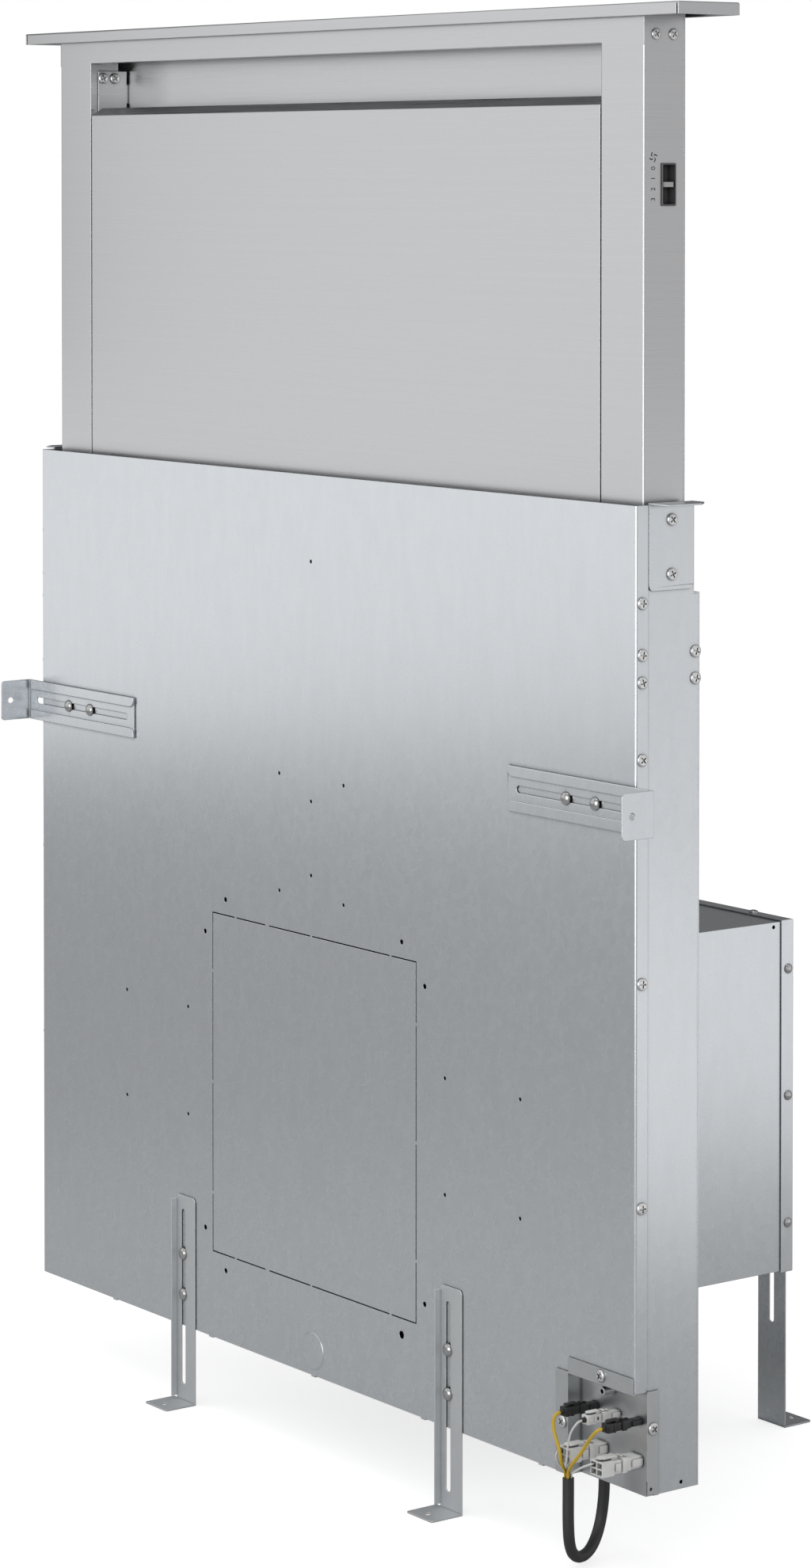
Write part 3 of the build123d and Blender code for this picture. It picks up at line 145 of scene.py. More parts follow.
# values hold the bump's strength and depth and, where edges shade as if rounded, the radius of that
def addBump(tree, shader, height, values):
    bump = addNode(tree, "ShaderNodeBump", Strength=values["bumpStrength"], Distance=values["bumpDepth"])
    tree.links.new(height, bump.inputs["Height"])
    if "softEdge" in values:
        rounded = addNode(tree, "ShaderNodeBevel", samples=6, Radius=values["softEdge"])
        tree.links.new(rounded.outputs["Normal"], bump.inputs["Normal"])
    tree.links.new(bump.outputs["Normal"], shader.inputs["Normal"])


# painted shade: joints, slots and tight corners read darker as if in shade, because tones are multiplied by
# how open the place is
cornerShadeValues = {
    "samples": 6,
    "narrow": 0.45,            # openness at which the darkest tone has doubled
    "open": 0.88,              # openness from which nothing is darkened
}


# paints shade into the colour where little of the surrounding is open
def paintShadeInCorners(tree, tones, reach, deepest):
    opened = addNode(tree, "ShaderNodeAmbientOcclusion", samples=cornerShadeValues["samples"], Distance=reach)
    stops = [(0.0, deepest), (cornerShadeValues["narrow"], deepest * 2), (cornerShadeValues["open"], 1.0)]
    shade = toneRamp(tree, opened.outputs["AO"], stops)
    return blendTones(tree, "MULTIPLY", 1.0, tones, shade)


def scaledTone(tone, share):
    return tuple(min(1, channel * share) for channel in tone)


# zinc coating: fine soft mottling, a faint cloudy tone and faint rolling marks
zincValues = {
    "flakeScale": (230, 230, 200),
    "flakeTones": (0.99, 1.01),
    "cloudScale": 80, "cloudStretch": (1, 1, 0.6), "cloudTone": 0.98,
    "rollingScale": (150, 150, 30), "rollingTone": 0.98,
    # darkest painted shade in corners and joints
    "cornerShadeTone": 0.14,
    "glossSpread": (-0.01, 0.012),
    "bumpStrength": 0.01, "bumpDepth": 0.0001,
    "softEdge": 0.0005,
}


def galvanisedSheet(name, tone, roughness, cornerShadeReach=0.0034, metallic=1.0):
    material, tree, shader = newMaterial(name)
    values = zincValues
    flakes = addNode(tree, "ShaderNodeTexVoronoi", Scale=1.0, Randomness=1.0)
    tree.links.new(objectPattern(tree, values["flakeScale"]), flakes.inputs["Vector"])
    cloud = addNode(tree, "ShaderNodeTexNoise", Scale=values["cloudScale"], Detail=2, Roughness=0.5)
    tree.links.new(objectPattern(tree, values["cloudStretch"]), cloud.inputs["Vector"])
    rolled = addNode(tree, "ShaderNodeTexNoise", Scale=1, Detail=1, Roughness=0.5)
    tree.links.new(objectPattern(tree, values["rollingScale"]), rolled.inputs["Vector"])
    low, high = (scaledTone(tone, share) for share in values["flakeTones"])
    mottling = toneRamp(tree, flakes.outputs["Color"], [(0.15, low), (0.85, high)])
    patches = toneRamp(tree, cloud.outputs["Fac"], [(0.3, values["cloudTone"]), (0.7, 1.0)])
    marks = toneRamp(tree, rolled.outputs["Fac"], [(0.3, values["rollingTone"]), (0.7, 1.0)])
    clouded = blendTones(tree, "MULTIPLY", 1.0, mottling, patches)
    tones = blendTones(tree, "MULTIPLY", 1.0, clouded, marks)
    # painted shade in joints, slots and corners, multiplied into the zinc tones
    cornerShaded = paintShadeInCorners(tree, tones, cornerShadeReach, values["cornerShadeTone"])
    tree.links.new(cornerShaded, shader.inputs["Base Color"])
    smoother, rougher = values["glossSpread"]
    gloss = toneRamp(tree, flakes.outputs["Color"], [(0.1, roughness + smoother), (0.9, roughness + rougher)])
    tree.links.new(gloss, shader.inputs["Roughness"])
    addBump(tree, shader, cloud.outputs["Fac"], values)
    shader.inputs["Metallic"].default_value = metallic
    return material


# brushed stainless steel: fine strokes with slightly darker broad bands
brushValues = {
    "strokeTones": (0.955, 1.035),
    "bandShare": 0.22,         # scale of the bands against the strokes
    "bandTone": 0.985,
    # darkest painted shade in corners and joints
    "cornerShadeTone": 0.14,
    "glossSpread": (-0.05, 0.06),
    "bumpStrength": 0.1, "bumpDepth": 0.00008,
    "softEdge": 0.0009,
}


# grain holds one scale for each direction: small along the strokes, large across them
def brushedSteel(name, tone, roughness, grain, cornerShadeReach=0.0026):
    material, tree, shader = newMaterial(name)
    values = brushValues
    strokes = addNode(tree, "ShaderNodeTexNoise", Scale=1, Detail=4, Roughness=0.65)
    tree.links.new(objectPattern(tree, grain), strokes.inputs["Vector"])
    broad = addNode(tree, "ShaderNodeTexNoise", Scale=1, Detail=2, Roughness=0.5)
    broadGrain = tuple(scale * values["bandShare"] for scale in grain)
    tree.links.new(objectPattern(tree, broadGrain), broad.inputs["Vector"])
    low, high = (scaledTone(tone, share) for share in values["strokeTones"])
    lines = toneRamp(tree, strokes.outputs["Fac"], [(0.3, low), (0.7, high)])
    bands = toneRamp(tree, broad.outputs["Fac"], [(0.3, values["bandTone"]), (0.7, 1.0)])
    tones = blendTones(tree, "MULTIPLY", 1.0, lines, bands)
    # painted shade in joints and corners, multiplied into the brushed tones
    cornerShaded = paintShadeInCorners(tree, tones, cornerShadeReach, values["cornerShadeTone"])
    tree.links.new(cornerShaded, shader.inputs["Base Color"])
    smoother, rougher = values["glossSpread"]
    gloss = toneRamp(tree, strokes.outputs["Fac"], [(0.3, roughness + smoother), (0.7, roughness + rougher)])
    tree.links.new(gloss, shader.inputs["Roughness"])
    addBump(tree, shader, strokes.outputs["Fac"], values)
    shader.inputs["Metallic"].default_value = 1.0
    return material


# smooth plated parts with slight handling marks
platingValues = {
    "markScale": (520, 520, 520),
    "markTone": 0.88,
    # reach and darkest tone of the painted shade around the heads and in corners
    "cornerShadeReach": 0.0016, "cornerShadeTone": 0.2,
    "glossShares": (0.8, 1.25),
}


def platedMetal(name, tone, roughness):
    material, tree, shader = newMaterial(name)
    values = platingValues
    marks = addNode(tree, "ShaderNodeTexNoise", Scale=1, Detail=4, Roughness=0.7)
    tree.links.new(objectPattern(tree, values["markScale"]), marks.inputs["Vector"])
    low = scaledTone(tone, values["markTone"])
    tones = toneRamp(tree, marks.outputs["Fac"], [(0.35, low), (0.65, tone)])
    # painted shade in corners and around the heads' seats
    cornerShaded = paintShadeInCorners(tree, tones, values["cornerShadeReach"], values["cornerShadeTone"])
    tree.links.new(cornerShaded, shader.inputs["Base Color"])
    smoother, rougher = values["glossShares"]
    gloss = toneRamp(tree, marks.outputs["Fac"], [(0.3, roughness * smoother), (0.7, roughness * rougher)])
    tree.links.new(gloss, shader.inputs["Roughness"])
    shader.inputs["Metallic"].default_value = 1.0
    return material


# plastic, rubber and paint: fine moulded grain over a slightly uneven colour
mouldedValues = {
    "unevenScale": 160, "unevenTone": 0.92,
    # reach and darkest tone of the painted shade in cavities and joints
    "cornerShadeReach": 0.0035, "cornerShadeTone": 0.2,
    "glossSpread": (-0.05, 0.08),
    "bumpDepth": 0.00005,
}


def mouldedPlastic(name, tone, roughness, grainScale=2600, strength=0.08):
    material, tree, shader = newMaterial(name)
    values = mouldedValues
    grain = addNode(tree, "ShaderNodeTexNoise", Scale=grainScale, Detail=3, Roughness=0.6)
    tree.links.new(objectPattern(tree, (1, 1, 1)), grain.inputs["Vector"])
    uneven = addNode(tree, "ShaderNodeTexNoise", Scale=values["unevenScale"], Detail=3)
    tree.links.new(objectPattern(tree, (1, 1, 1)), uneven.inputs["Vector"])
    low = scaledTone(tone, values["unevenTone"])
    tones = toneRamp(tree, uneven.outputs["Fac"], [(0.3, low), (0.7, tone)])
    # painted shade in cavities, joints and corners of the plastic
    cornerShaded = paintShadeInCorners(tree, tones, values["cornerShadeReach"], values["cornerShadeTone"])
    tree.links.new(cornerShaded, shader.inputs["Base Color"])
    smoother, rougher = values["glossSpread"]
    gloss = toneRamp(tree, grain.outputs["Fac"], [(0.3, roughness + smoother), (0.7, roughness + rougher)])
    tree.links.new(gloss, shader.inputs["Roughness"])
    addBump(tree, shader, grain.outputs["Fac"], {"bumpStrength": strength, "bumpDepth": values["bumpDepth"]})
    return material


# colour and roughness of every finish, as they render under plain light
finishes = {
    "galvanised": {"tone": (0.65, 0.675, 0.70), "roughness": 0.27},
    "stainless": {"tone": (0.55, 0.553, 0.562), "roughness": 0.3},
    "plated": {"tone": (0.74, 0.74, 0.74), "roughness": 0.3},
    "polished": {"tone": (0.46, 0.46, 0.46), "roughness": 0.2},
    "aluminium": {"tone": (0.76, 0.77, 0.78), "roughness": 0.34},
    "blackPlastic": {"tone": (0.018, 0.018, 0.019), "roughness": 0.42},
    "whitePlastic": {"tone": (0.88, 0.88, 0.865), "roughness": 0.4},
    "nylon": {"tone": (0.74, 0.73, 0.69), "roughness": 0.5},
    "sleeve": {"tone": (0.03, 0.03, 0.031), "roughness": 0.5},
    "yellowWire": {"tone": (0.76, 0.5, 0.025), "roughness": 0.38},
    "whiteWire": {"tone": (0.86, 0.86, 0.845), "roughness": 0.38},
    "rubber": {"tone": (0.02, 0.02, 0.02), "roughness": 0.65},
    "blackPaint": {"tone": (0.03, 0.03, 0.032), "roughness": 0.45},
    "magnet": {"tone": (0.06, 0.06, 0.062), "roughness": 0.5},
    "ink": {"tone": (0.025, 0.025, 0.026), "roughness": 0.55},
    "switchGrey": {"tone": (0.12, 0.12, 0.122), "roughness": 0.3},
    # the legs' sheet takes a shorter reach of painted shade in corners
    "legSheet": {"tone": (0.63, 0.65, 0.665), "roughness": 0.4, "cornerShadeReach": 0.0014, "metallic": 0.5},
    # darker copy of the zinc finish for the wiring box: painted shade of the recess it lines
    "paintedShadeSheet": {"tone": (0.55, 0.567, 0.58), "roughness": 0.34},
}
galvanised = galvanisedSheet("galvanised", **finishes["galvanised"])
stainless = brushedSteel("stainless", **finishes["stainless"], grain=(9, 9, 1500))
# the cap's copy reaches far with its painted shade, darkening its underside and skirt as if in the shade
# below the cap's edge
stainlessCap = brushedSteel("stainlessCap", **finishes["stainless"], grain=(9, 1500, 1500), cornerShadeReach=0.012)
plated = platedMetal("plated", **finishes["plated"])
polished = platedMetal("polished", **finishes["polished"])
aluminium = platedMetal("aluminium", **finishes["aluminium"])
blackPlastic = mouldedPlastic("blackPlastic", **finishes["blackPlastic"])
whitePlastic = mouldedPlastic("whitePlastic", **finishes["whitePlastic"])
nylon = mouldedPlastic("nylon", **finishes["nylon"])
sleeveMaterial = mouldedPlastic("sleeve", **finishes["sleeve"], grainScale=1800, strength=0.2)
yellowWire = mouldedPlastic("yellowWire", **finishes["yellowWire"])
whiteWire = mouldedPlastic("whiteWire", **finishes["whiteWire"])
rubber = mouldedPlastic("rubber", **finishes["rubber"], grainScale=900, strength=0.3)
blackPaint = mouldedPlastic("blackPaint", **finishes["blackPaint"])
ink = mouldedPlastic("ink", **finishes["ink"])
switchGrey = mouldedPlastic("switchGrey", **finishes["switchGrey"])
legSheet = galvanisedSheet("legSheet", **finishes["legSheet"])
# painted shade: the wiring box gets a darker, rougher copy of the galvanised sheet
paintedShadeSheet = galvanisedSheet("paintedShadeSheet", **finishes["paintedShadeSheet"])
magnetMaterial = mouldedPlastic("magnet", **finishes["magnet"], grainScale=1500, strength=0.3)

finishOfSlot = {
    "galvanised": galvanised, "stainless": stainless, "plated_steel": plated, "knob_metal": polished,
    "filter_aluminium": aluminium, "flap_aluminium": aluminium, "black_plastic": blackPlastic,
    "white_plastic": whitePlastic, "nylon": nylon, "motor_paint": blackPaint, "belt_rubber": rubber,
    "sleeve_black": sleeveMaterial, "wire_yellow": yellowWire, "wire_white": whiteWire,
    "magnet": magnetMaterial,
}
slotOfNode = {part["node"]: part["material_slot"] for part in frame["record"]["subparts"]}
finishOfNode = {
    "cap": stainlessCap, "switch_body": switchGrey, "wiring_box": paintedShadeSheet,
    "front_leg_right": legSheet, "front_leg_left": legSheet,
}
for nodeName, item in frame["nodes"].items():
    finish = finishOfNode.get(nodeName, finishOfSlot[slotOfNode[nodeName]])
    if not item.data.materials:
        item.data.materials.append(finish)
    for index in range(len(item.data.materials)):
        item.data.materials[index] = finish
print("materials given to", len(frame["nodes"]), "nodes")


# folded and cut edges of the brackets, legs and cap are slightly rounded, so they catch the light

edgeValues = {
    "nodes": ("wall_bracket_right", "wall_bracket_left", "front_leg_right", "front_leg_left",
              "rear_leg_right", "rear_leg_left", "counter_brackets", "cap"),
    "width": 0.0003,
    "segments": 2,
    "sharpFrom": 40,           # degrees between faces from which an edge is rounded
    "flatUpTo": 0.5,           # degrees up to which faces are joined first
    "weldReach": 0.000002,
}


def roundEdges(item, values):
    weld = item.modifiers.new("weld", "WELD")
    weld.merge_threshold = values["weldReach"]
    flat = item.modifiers.new("flat", "DECIMATE")
    flat.decimate_type = "DISSOLVE"
    flat.angle_limit = math.radians(values["flatUpTo"])
    bevel = item.modifiers.new("edges", "BEVEL")
    bevel.width = values["width"]
    bevel.segments = values["segments"]
    bevel.limit_method = "ANGLE"
    bevel.angle_limit = math.radians(values["sharpFrom"])
    bevel.use_clamp_overlap = False


for nodeName in edgeValues["nodes"]:
    roundEdges(frame["nodes"][nodeName], edgeValues)
print("edges rounded:", len(edgeValues["nodes"]), "nodes")


# cords: the black sleeve and the wires that fan out of its mouth to the plugs

cordValues = {
    "sleeveDiameter": 0.0073, "sleeveLength": 0.130,
    "yellowDiameter": 0.0022, "yellowLengths": (0.048, 0.059),
    "whiteDiameter": 0.0014, "whiteLengths": (0.050, 0.0455, 0.0303),
    "stepsAlong": 10,          # between two points of a route
    "stepsRound": 5,           # how finely the girth is drawn
}
sleeveRoute = [
    (0.2852, -0.1235, 0.0526), (0.2852, -0.1235, 0.0436), (0.2846, -0.1237, 0.0334),
    (0.2842, -0.1255, 0.021), (0.2866, -0.1314, 0.0112), (0.2915, -0.1413, 0.0054),
    (0.2968, -0.1533, 0.0053), (0.3017, -0.1631, 0.0111), (0.305, -0.1683, 0.021),
    (0.3051, -0.169, 0.0351), (0.3046, -0.1685, 0.0491), (0.3046, -0.1685, 0.0611),
]
yellowRoutes = [
    [(0.3032, -0.1694, 0.0611), (0.3032, -0.1694, 0.0649), (0.3043, -0.1739, 0.0704),
     (0.3044, -0.1749, 0.0786), (0.3008, -0.1753, 0.0856), (0.2979, -0.1753, 0.0919),
     (0.2976, -0.175, 0.0975), (0.2975, -0.1725, 0.101), (0.2975, -0.16725, 0.101)],
    [(0.3057, -0.1697, 0.0611), (0.3057, -0.1697, 0.0649), (0.3089, -0.1712, 0.0679),
     (0.3146, -0.1729, 0.0735), (0.3218, -0.1725, 0.0809), (0.3279, -0.1723, 0.089),
     (0.3346, -0.1741, 0.0952), (0.3392, -0.1751, 0.0986), (0.3412, -0.1737, 0.101),
     (0.3412, -0.169, 0.101)],
]
whiteRoutes = [
    [(0.3044, -0.1673, 0.0611), (0.3044, -0.1673, 0.0652), (0.3064, -0.1723, 0.0688),
     (0.3096, -0.1739, 0.0744), (0.3112, -0.1744, 0.0836), (0.3145, -0.1749, 0.093),
     (0.318, -0.1737, 0.0982), (0.3195, -0.1717, 0.101), (0.3195, -0.16725, 0.101)],
    [(0.3065, -0.1676, 0.0611), (0.3065, -0.1676, 0.0642), (0.309, -0.1695, 0.0654),
     (0.313, -0.1713, 0.0668), (0.3194, -0.1734, 0.0704), (0.3266, -0.1751, 0.0742),
     (0.3324, -0.1757, 0.0768), (0.3358, -0.1751, 0.0785), (0.3358, -0.16575, 0.0785)],
    [(0.3026, -0.1674, 0.0611), (0.3026, -0.1674, 0.0644), (0.3004, -0.1699, 0.0666),
     (0.2999, -0.1735, 0.0704), (0.3002, -0.1751, 0.0755), (0.3013, -0.174, 0.0785),
     (0.3013, -0.164, 0.0785)],
]


def makeCord(name, route, diameter, finish, node):
    curve = bpy.data.curves.new(name, "CURVE")
    curve.dimensions = "3D"
    spline = curve.splines.new("NURBS")
    spline.points.add(len(route) - 1)
    for point, place in zip(spline.points, route):
        point.co = (*place, 1)
    spline.order_u = 3
    spline.use_endpoint_u = True
    spline.resolution_u = cordValues["stepsAlong"]
    curve.bevel_depth = diameter / 2
    curve.bevel_resolution = cordValues["stepsRound"]
    curve.use_fill_caps = True
    curve.materials.append(finish)
    cord = newObject(name, curve)
    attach(cord, "housing")
    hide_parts(node)
    return cord


sleeve = makeCord("sleeve", sleeveRoute, cordValues["sleeveDiameter"], sleeveMaterial, "cable_sleeve")
yellowWires = [
    makeCord(f"wireYellow{index}", route, cordValues["yellowDiameter"], yellowWire, "wires_yellow")
    for index, route in enumerate(yellowRoutes)
]
whiteWires = [
    makeCord(f"wireWhite{index}", route, cordValues["whiteDiameter"], whiteWire, "wires_white")
    for index, route in enumerate(whiteRoutes)
]
print("cords laid:", 1 + len(yellowWires) + len(whiteWires))


# box and lathe helpers for the small pieces, all in metres

def addBlock(shape, x, y, z, edge=0.0, finishIndex=0):
    spans = (x, y, z)
    verts = bmesh.ops.create_cube(shape, size=1)["verts"]
    for vert in verts:
        vert.co = Vector((low + high) / 2 + part * (high - low) for (low, high), part in zip(spans, vert.co))
    for face in {face for vert in verts for face in vert.link_faces}:
        face.material_index = finishIndex
    if edge:
        edges = list({line for vert in verts for line in vert.link_edges})
        bmesh.ops.bevel(shape, geom=edges, offset=edge, segments=2, affect="EDGES", profile=0.5)


# rings of (radius, height) turned about z, closed on the axis at both ends
def addLathe(shape, profile, sides, finishIndex=0):
    rings = []
    for radius, height in profile:
        angles = [2 * math.pi * step / sides for step in range(sides)] if radius else [0]
        rings.append([shape.verts.new((radius * math.cos(angle), radius * math.sin(angle), height))
                      for angle in angles])
    for lower, upper in zip(rings, rings[1:]):
        for step in range(sides):
            after = (step + 1) % sides
            if len(lower) == 1:
                corners = (lower[0], upper[after], upper[step])
            elif len(upper) == 1:
                corners = (lower[step], lower[after], upper[0])
            else:
                corners = (lower[step], lower[after], upper[after], upper[step])
            shape.faces.new(corners).material_index = finishIndex
    return [vert for ring in rings for vert in ring]


def smoothByAngle(mesh, degrees):
    mesh.polygons.foreach_set("use_smooth", [True] * len(mesh.polygons))
    mesh.set_sharp_from_angle(angle=math.radians(degrees))


def finalMesh(item):
    graph = bpy.context.evaluated_depsgraph_get()
    return bpy.data.meshes.new_from_object(item.evaluated_get(graph))


# screws and bolts: heads turned once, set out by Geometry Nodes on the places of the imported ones

headValues = {
    "sides": 32,
    # (radius, height) in shares of the head's radius and height; the shank goes down into the sheet
    "panProfile": [(0, -1.5), (0.36, -1.5), (0.36, 0), (1, 0), (1, 0.4), (0.95, 0.72), (0.8, 0.9),
                   (0.5, 0.98), (0, 1)],
    "domeProfile": [(0, -1.5), (0.42, -1.5), (0.42, 0), (1, 0), (0.985, 0.2), (0.92, 0.43), (0.8, 0.63),
                    (0.62, 0.81), (0.4, 0.93), (0.18, 0.985), (0, 1)],
    "crossReach": 0.62,        # of the head's radius
    "crossWide": 0.25,
    "crossDeep": 0.55,         # of the head's height
    "bladeTop": 1.5,           # above the head, in the same share
    "smoothUpTo": 32,          # degrees
    "rimFrom": 0.85,           # share of the radius beyond which a point belongs to the rim
    "turnSeed": 7,
}


def makeHead(name, profile, crossed):
    head = newObject(name, meshFrom(name, lambda shape: addLathe(shape, profile, headValues["sides"])))
    if crossed:
        reach, wide = headValues["crossReach"], headValues["crossWide"] / 2
        height = (1 - headValues["crossDeep"], headValues["bladeTop"])
        bars = meshFrom("blade", lambda shape: addBlock(shape, (-reach, reach), (-wide, wide), height))
        blades = [newObject("bladeOne", bars), newObject("bladeTwo", bars.copy())]
        blades[1].data.transform(Matrix.Rotation(math.pi / 2, 4, "Z"))
        for blade in blades:
            cut = head.modifiers.new("cut", "BOOLEAN")
            cut.operation = "DIFFERENCE"
            cut.solver = "EXACT"
            cut.object = blade
        head.data = finalMesh(head)
        head.modifiers.clear()
        for blade in blades:
            bpy.data.objects.remove(blade)
    smoothByAngle(head.data, headValues["smoothUpTo"])
    return head


# every loose solid of a node as the list of its points
def solidsOf(node):
    shape = bmesh.new()
    shape.from_mesh(node.data)
    bmesh.ops.transform(shape, matrix=node.matrix_world, verts=shape.verts)
    bmesh.ops.remove_doubles(shape, verts=shape.verts, dist=edgeValues["weldReach"])
    waiting, solids = set(shape.verts), []
    while waiting:
        front = [waiting.pop()]
        found = []
        while front:
            vert = front.pop()
            found.append(vert.co.copy())
            for line in vert.link_edges:
                other = line.other_vert(vert)
                if other in waiting:
                    waiting.remove(other)
                    front.append(other)
        solids.append(found)
    shape.free()
    return solids


# seat, facing and size of a screw from the points of its solid; the axis is its shortest side
def readScrew(points):
    low = [min(point[axis] for point in points) for axis in range(3)]
    high = [max(point[axis] for point in points) for axis in range(3)]
    spans = [b - a for a, b in zip(low, high)]
    along = spans.index(min(spans))
    radius = max(spans) / 2
    middle = Vector(((a + b) / 2) for a, b in zip(low, high))

    def off(point):
        return math.sqrt(sum((point[axis] - middle[axis]) ** 2 for axis in range(3) if axis != along))
    rim = [point[along] for point in points if off(point) > headValues["rimFrom"] * radius]
    forward = min(rim) - low[along] > high[along] - max(rim)
    seat = min(rim) if forward else max(rim)
    place = middle.copy()
    place[along] = seat
    facing = Vector((0, 0, 0))
    facing[along] = 1 if forward else -1
    height = high[along] - seat if forward else seat - low[along]
    return place, facing, (radius, radius, height)


def makeSetOutTree():
    tree = bpy.data.node_groups.new("setOutHeads", "GeometryNodeTree")
    face = tree.interface
    face.new_socket("Geometry", in_out="INPUT", socket_type="NodeSocketGeometry")
    inputs = {"Head": "NodeSocketObject", "Finish": "NodeSocketMaterial", "Seed": "NodeSocketInt"}
    for label, kind in inputs.items():
        face.new_socket(label, in_out="INPUT", socket_type=kind)
    face.new_socket("Geometry", in_out="OUTPUT", socket_type="NodeSocketGeometry")
    given = addNode(tree, "NodeGroupInput")
    head = addNode(tree, "GeometryNodeObjectInfo")
    facing = addNode(tree, "GeometryNodeInputNamedAttribute", data_type="FLOAT_VECTOR", Name="facing")
    size = addNode(tree, "GeometryNodeInputNamedAttribute", data_type="FLOAT_VECTOR", Name="size")
    aim = addNode(tree, "FunctionNodeAlignRotationToVector", axis="Z")
    turn = addNode(tree, "FunctionNodeRandomValue", data_type="FLOAT")
    turn.inputs[3].default_value = 2 * math.pi
    spin = addNode(tree, "FunctionNodeAxisAngleToRotation")
    joined = addNode(tree, "FunctionNodeRotateRotation", rotation_space="LOCAL")
    place = addNode(tree, "GeometryNodeInstanceOnPoints")
    real = addNode(tree, "GeometryNodeRealizeInstances")
    finish = addNode(tree, "GeometryNodeSetMaterial")
    result = addNode(tree, "NodeGroupOutput")
    links = [
        (given.outputs["Head"], head.inputs["Object"]),
        (given.outputs["Seed"], turn.inputs["Seed"]),
        (facing.outputs["Attribute"], aim.inputs["Vector"]),
        (turn.outputs[1], spin.inputs["Angle"]),
        (aim.outputs["Rotation"], joined.inputs["Rotation"]),
        (spin.outputs["Rotation"], joined.inputs["Rotate By"]),
        (given.outputs["Geometry"], place.inputs["Points"]),
        (head.outputs["Geometry"], place.inputs["Instance"]),
        (joined.outputs["Rotation"], place.inputs["Rotation"]),
        (size.outputs["Attribute"], place.inputs["Scale"]),
        (place.outputs["Instances"], real.inputs["Geometry"]),
        (real.outputs["Geometry"], finish.inputs["Geometry"]),
        (given.outputs["Finish"], finish.inputs["Material"]),
        (finish.outputs["Geometry"], result.inputs["Geometry"]),
    ]
    for start, end in links:
        tree.links.new(start, end)
    return tree


def setModifierInputs(modifier, tree, values):
    for socket in tree.interface.items_tree:
        if socket.item_type == "SOCKET" and socket.in_out == "INPUT" and socket.name in values:
            modifier[socket.identifier] = values[socket.name]


def setOutHeads(name, node, head, finish, body):
    screws = [readScrew(points) for points in solidsOf(frame["nodes"][node])]
    screws.sort(key=lambda screw: tuple(screw[0]))
    mesh = bpy.data.meshes.new(name)
    mesh.from_pydata([tuple(place) for place, _, _ in screws], [], [])
    for label, column in (("facing", 1), ("size", 2)):
        stored = mesh.attributes.new(label, "FLOAT_VECTOR", "POINT")
        stored.data.foreach_set("vector", [number for screw in screws for number in screw[column]])
    item = newObject(name, mesh)
    modifier = item.modifiers.new("setOut", "NODES")
    modifier.node_group = setOutTree
    setModifierInputs(modifier, setOutTree, {"Head": head, "Finish": finish, "Seed": headValues["turnSeed"]})
    item.update_tag()
    bpy.context.view_layer.update()
    item.data = finalMesh(item)
    item.modifiers.clear()
    for spare in ("facing", "size"):
        if spare in item.data.attributes:
            item.data.attributes.remove(item.data.attributes[spare])
    if not item.data.materials:
        item.data.materials.append(finish)
    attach(item, body)
    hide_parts(node)
    print(name, "heads:", len(screws))


setOutTree = makeSetOutTree()
panHead = makeHead("panHead", headValues["panProfile"], True)
domeHead = makeHead("domeHead", headValues["domeProfile"], False)
setOutHeads("housingScrews", "cover_screws", panHead, plated, "housing")
setOutHeads("clampBolts", "slider_bolts", domeHead, polished, "housing")
setOutHeads("blowerScrews", "blower_screws", domeHead, polished, "housing")
setOutHeads("riserScrews", "riser_screws", panHead, plated, "riser")
for head in (panHead, domeHead):
    bpy.data.objects.remove(head)


# plugs and their panel sockets; the wires' ends give the places of the small plugs' fronts
# sizes are in metres; a "half" counts from the middle outward, an "in" from the flank inward

plugValues = {
    "plateFace": -0.141,
    "edge": 0.0004,
    "gap": 0.0003,             # dark joint between a plug and its socket
    "smoothUpTo": 40,          # degrees
}
smallPlug = {
    "wide": 0.0072, "tall": 0.0062, "long": 0.0115,
    "noseLong": 0.0052, "noseIn": (0.0003, 0.0002),
    "collar": (0.0048, 0.0066),
    "tailFrom": 0.006, "tailIn": (0.0006, 0.0005),
    "rail": (0.0008, 0.0042), "railHalf": 0.0012, "railEdge": 0.0002,
    "railDepth": (0.0005, 0.0001),
    "window": (0.0076, 0.0088), "windowLow": 0.0009, "windowHigh": 0.0011,
    "windowDepth": (0.0008, -0.00055),
    "latchFrom": 0.001, "latchEnd": 0.0008, "latchWide": 0.004, "latchThick": 0.0012,
}
largePlug = {
    "wide": 0.0120, "tall": 0.0092, "long": 0.0160,
    "fronts": [(0.3045, -0.1720, 0.0761), (0.3390, -0.17375, 0.0761)],
    "noseLong": 0.0095, "cavityDeep": 0.0075, "cavityWall": 0.0008,
    "tailFrom": 0.009, "tailIn": 0.0005,
    "railFrom": 0.0105, "railEnd": 0.0006, "railHalf": 0.0024, "railDepth": 0.0003,
    "latchIn": 0.0012, "latchWide": 0.0066, "latchThick": 0.0015,
}


# block centred on x and z that goes from front to rear
def addCentred(shape, x, z, wide, tall, front, rear, edge):
    addBlock(shape, (x - wide, x + wide), (front, rear), (z - tall, z + tall), edge)


# span across one flank of a body that reaches wide from x, from inward to outward of the flank
def flankSpan(x, side, wide, inward, outward):
    return sorted((x + side * (wide - inward), x + side * (wide + outward)))


# rubber boot where a wire enters a small plug
bootValues = {
    "profile": [(0, 0), (0.0013, 0), (0.0015, 0.0004), (0.0019, 0.0024), (0.0019, 0.0032), (0, 0.0032)],
    "sides": 20,
    "outside": 0.0024,
}


def addBoot(shape, place, finishIndex):
    verts = addLathe(shape, bootValues["profile"], bootValues["sides"], finishIndex)
    start = Vector(place) - Vector((0, bootValues["outside"], 0))
    turn = Matrix.Translation(start) @ Matrix.Rotation(-math.pi / 2, 4, "X")
    bmesh.ops.transform(shape, matrix=turn, verts=verts)


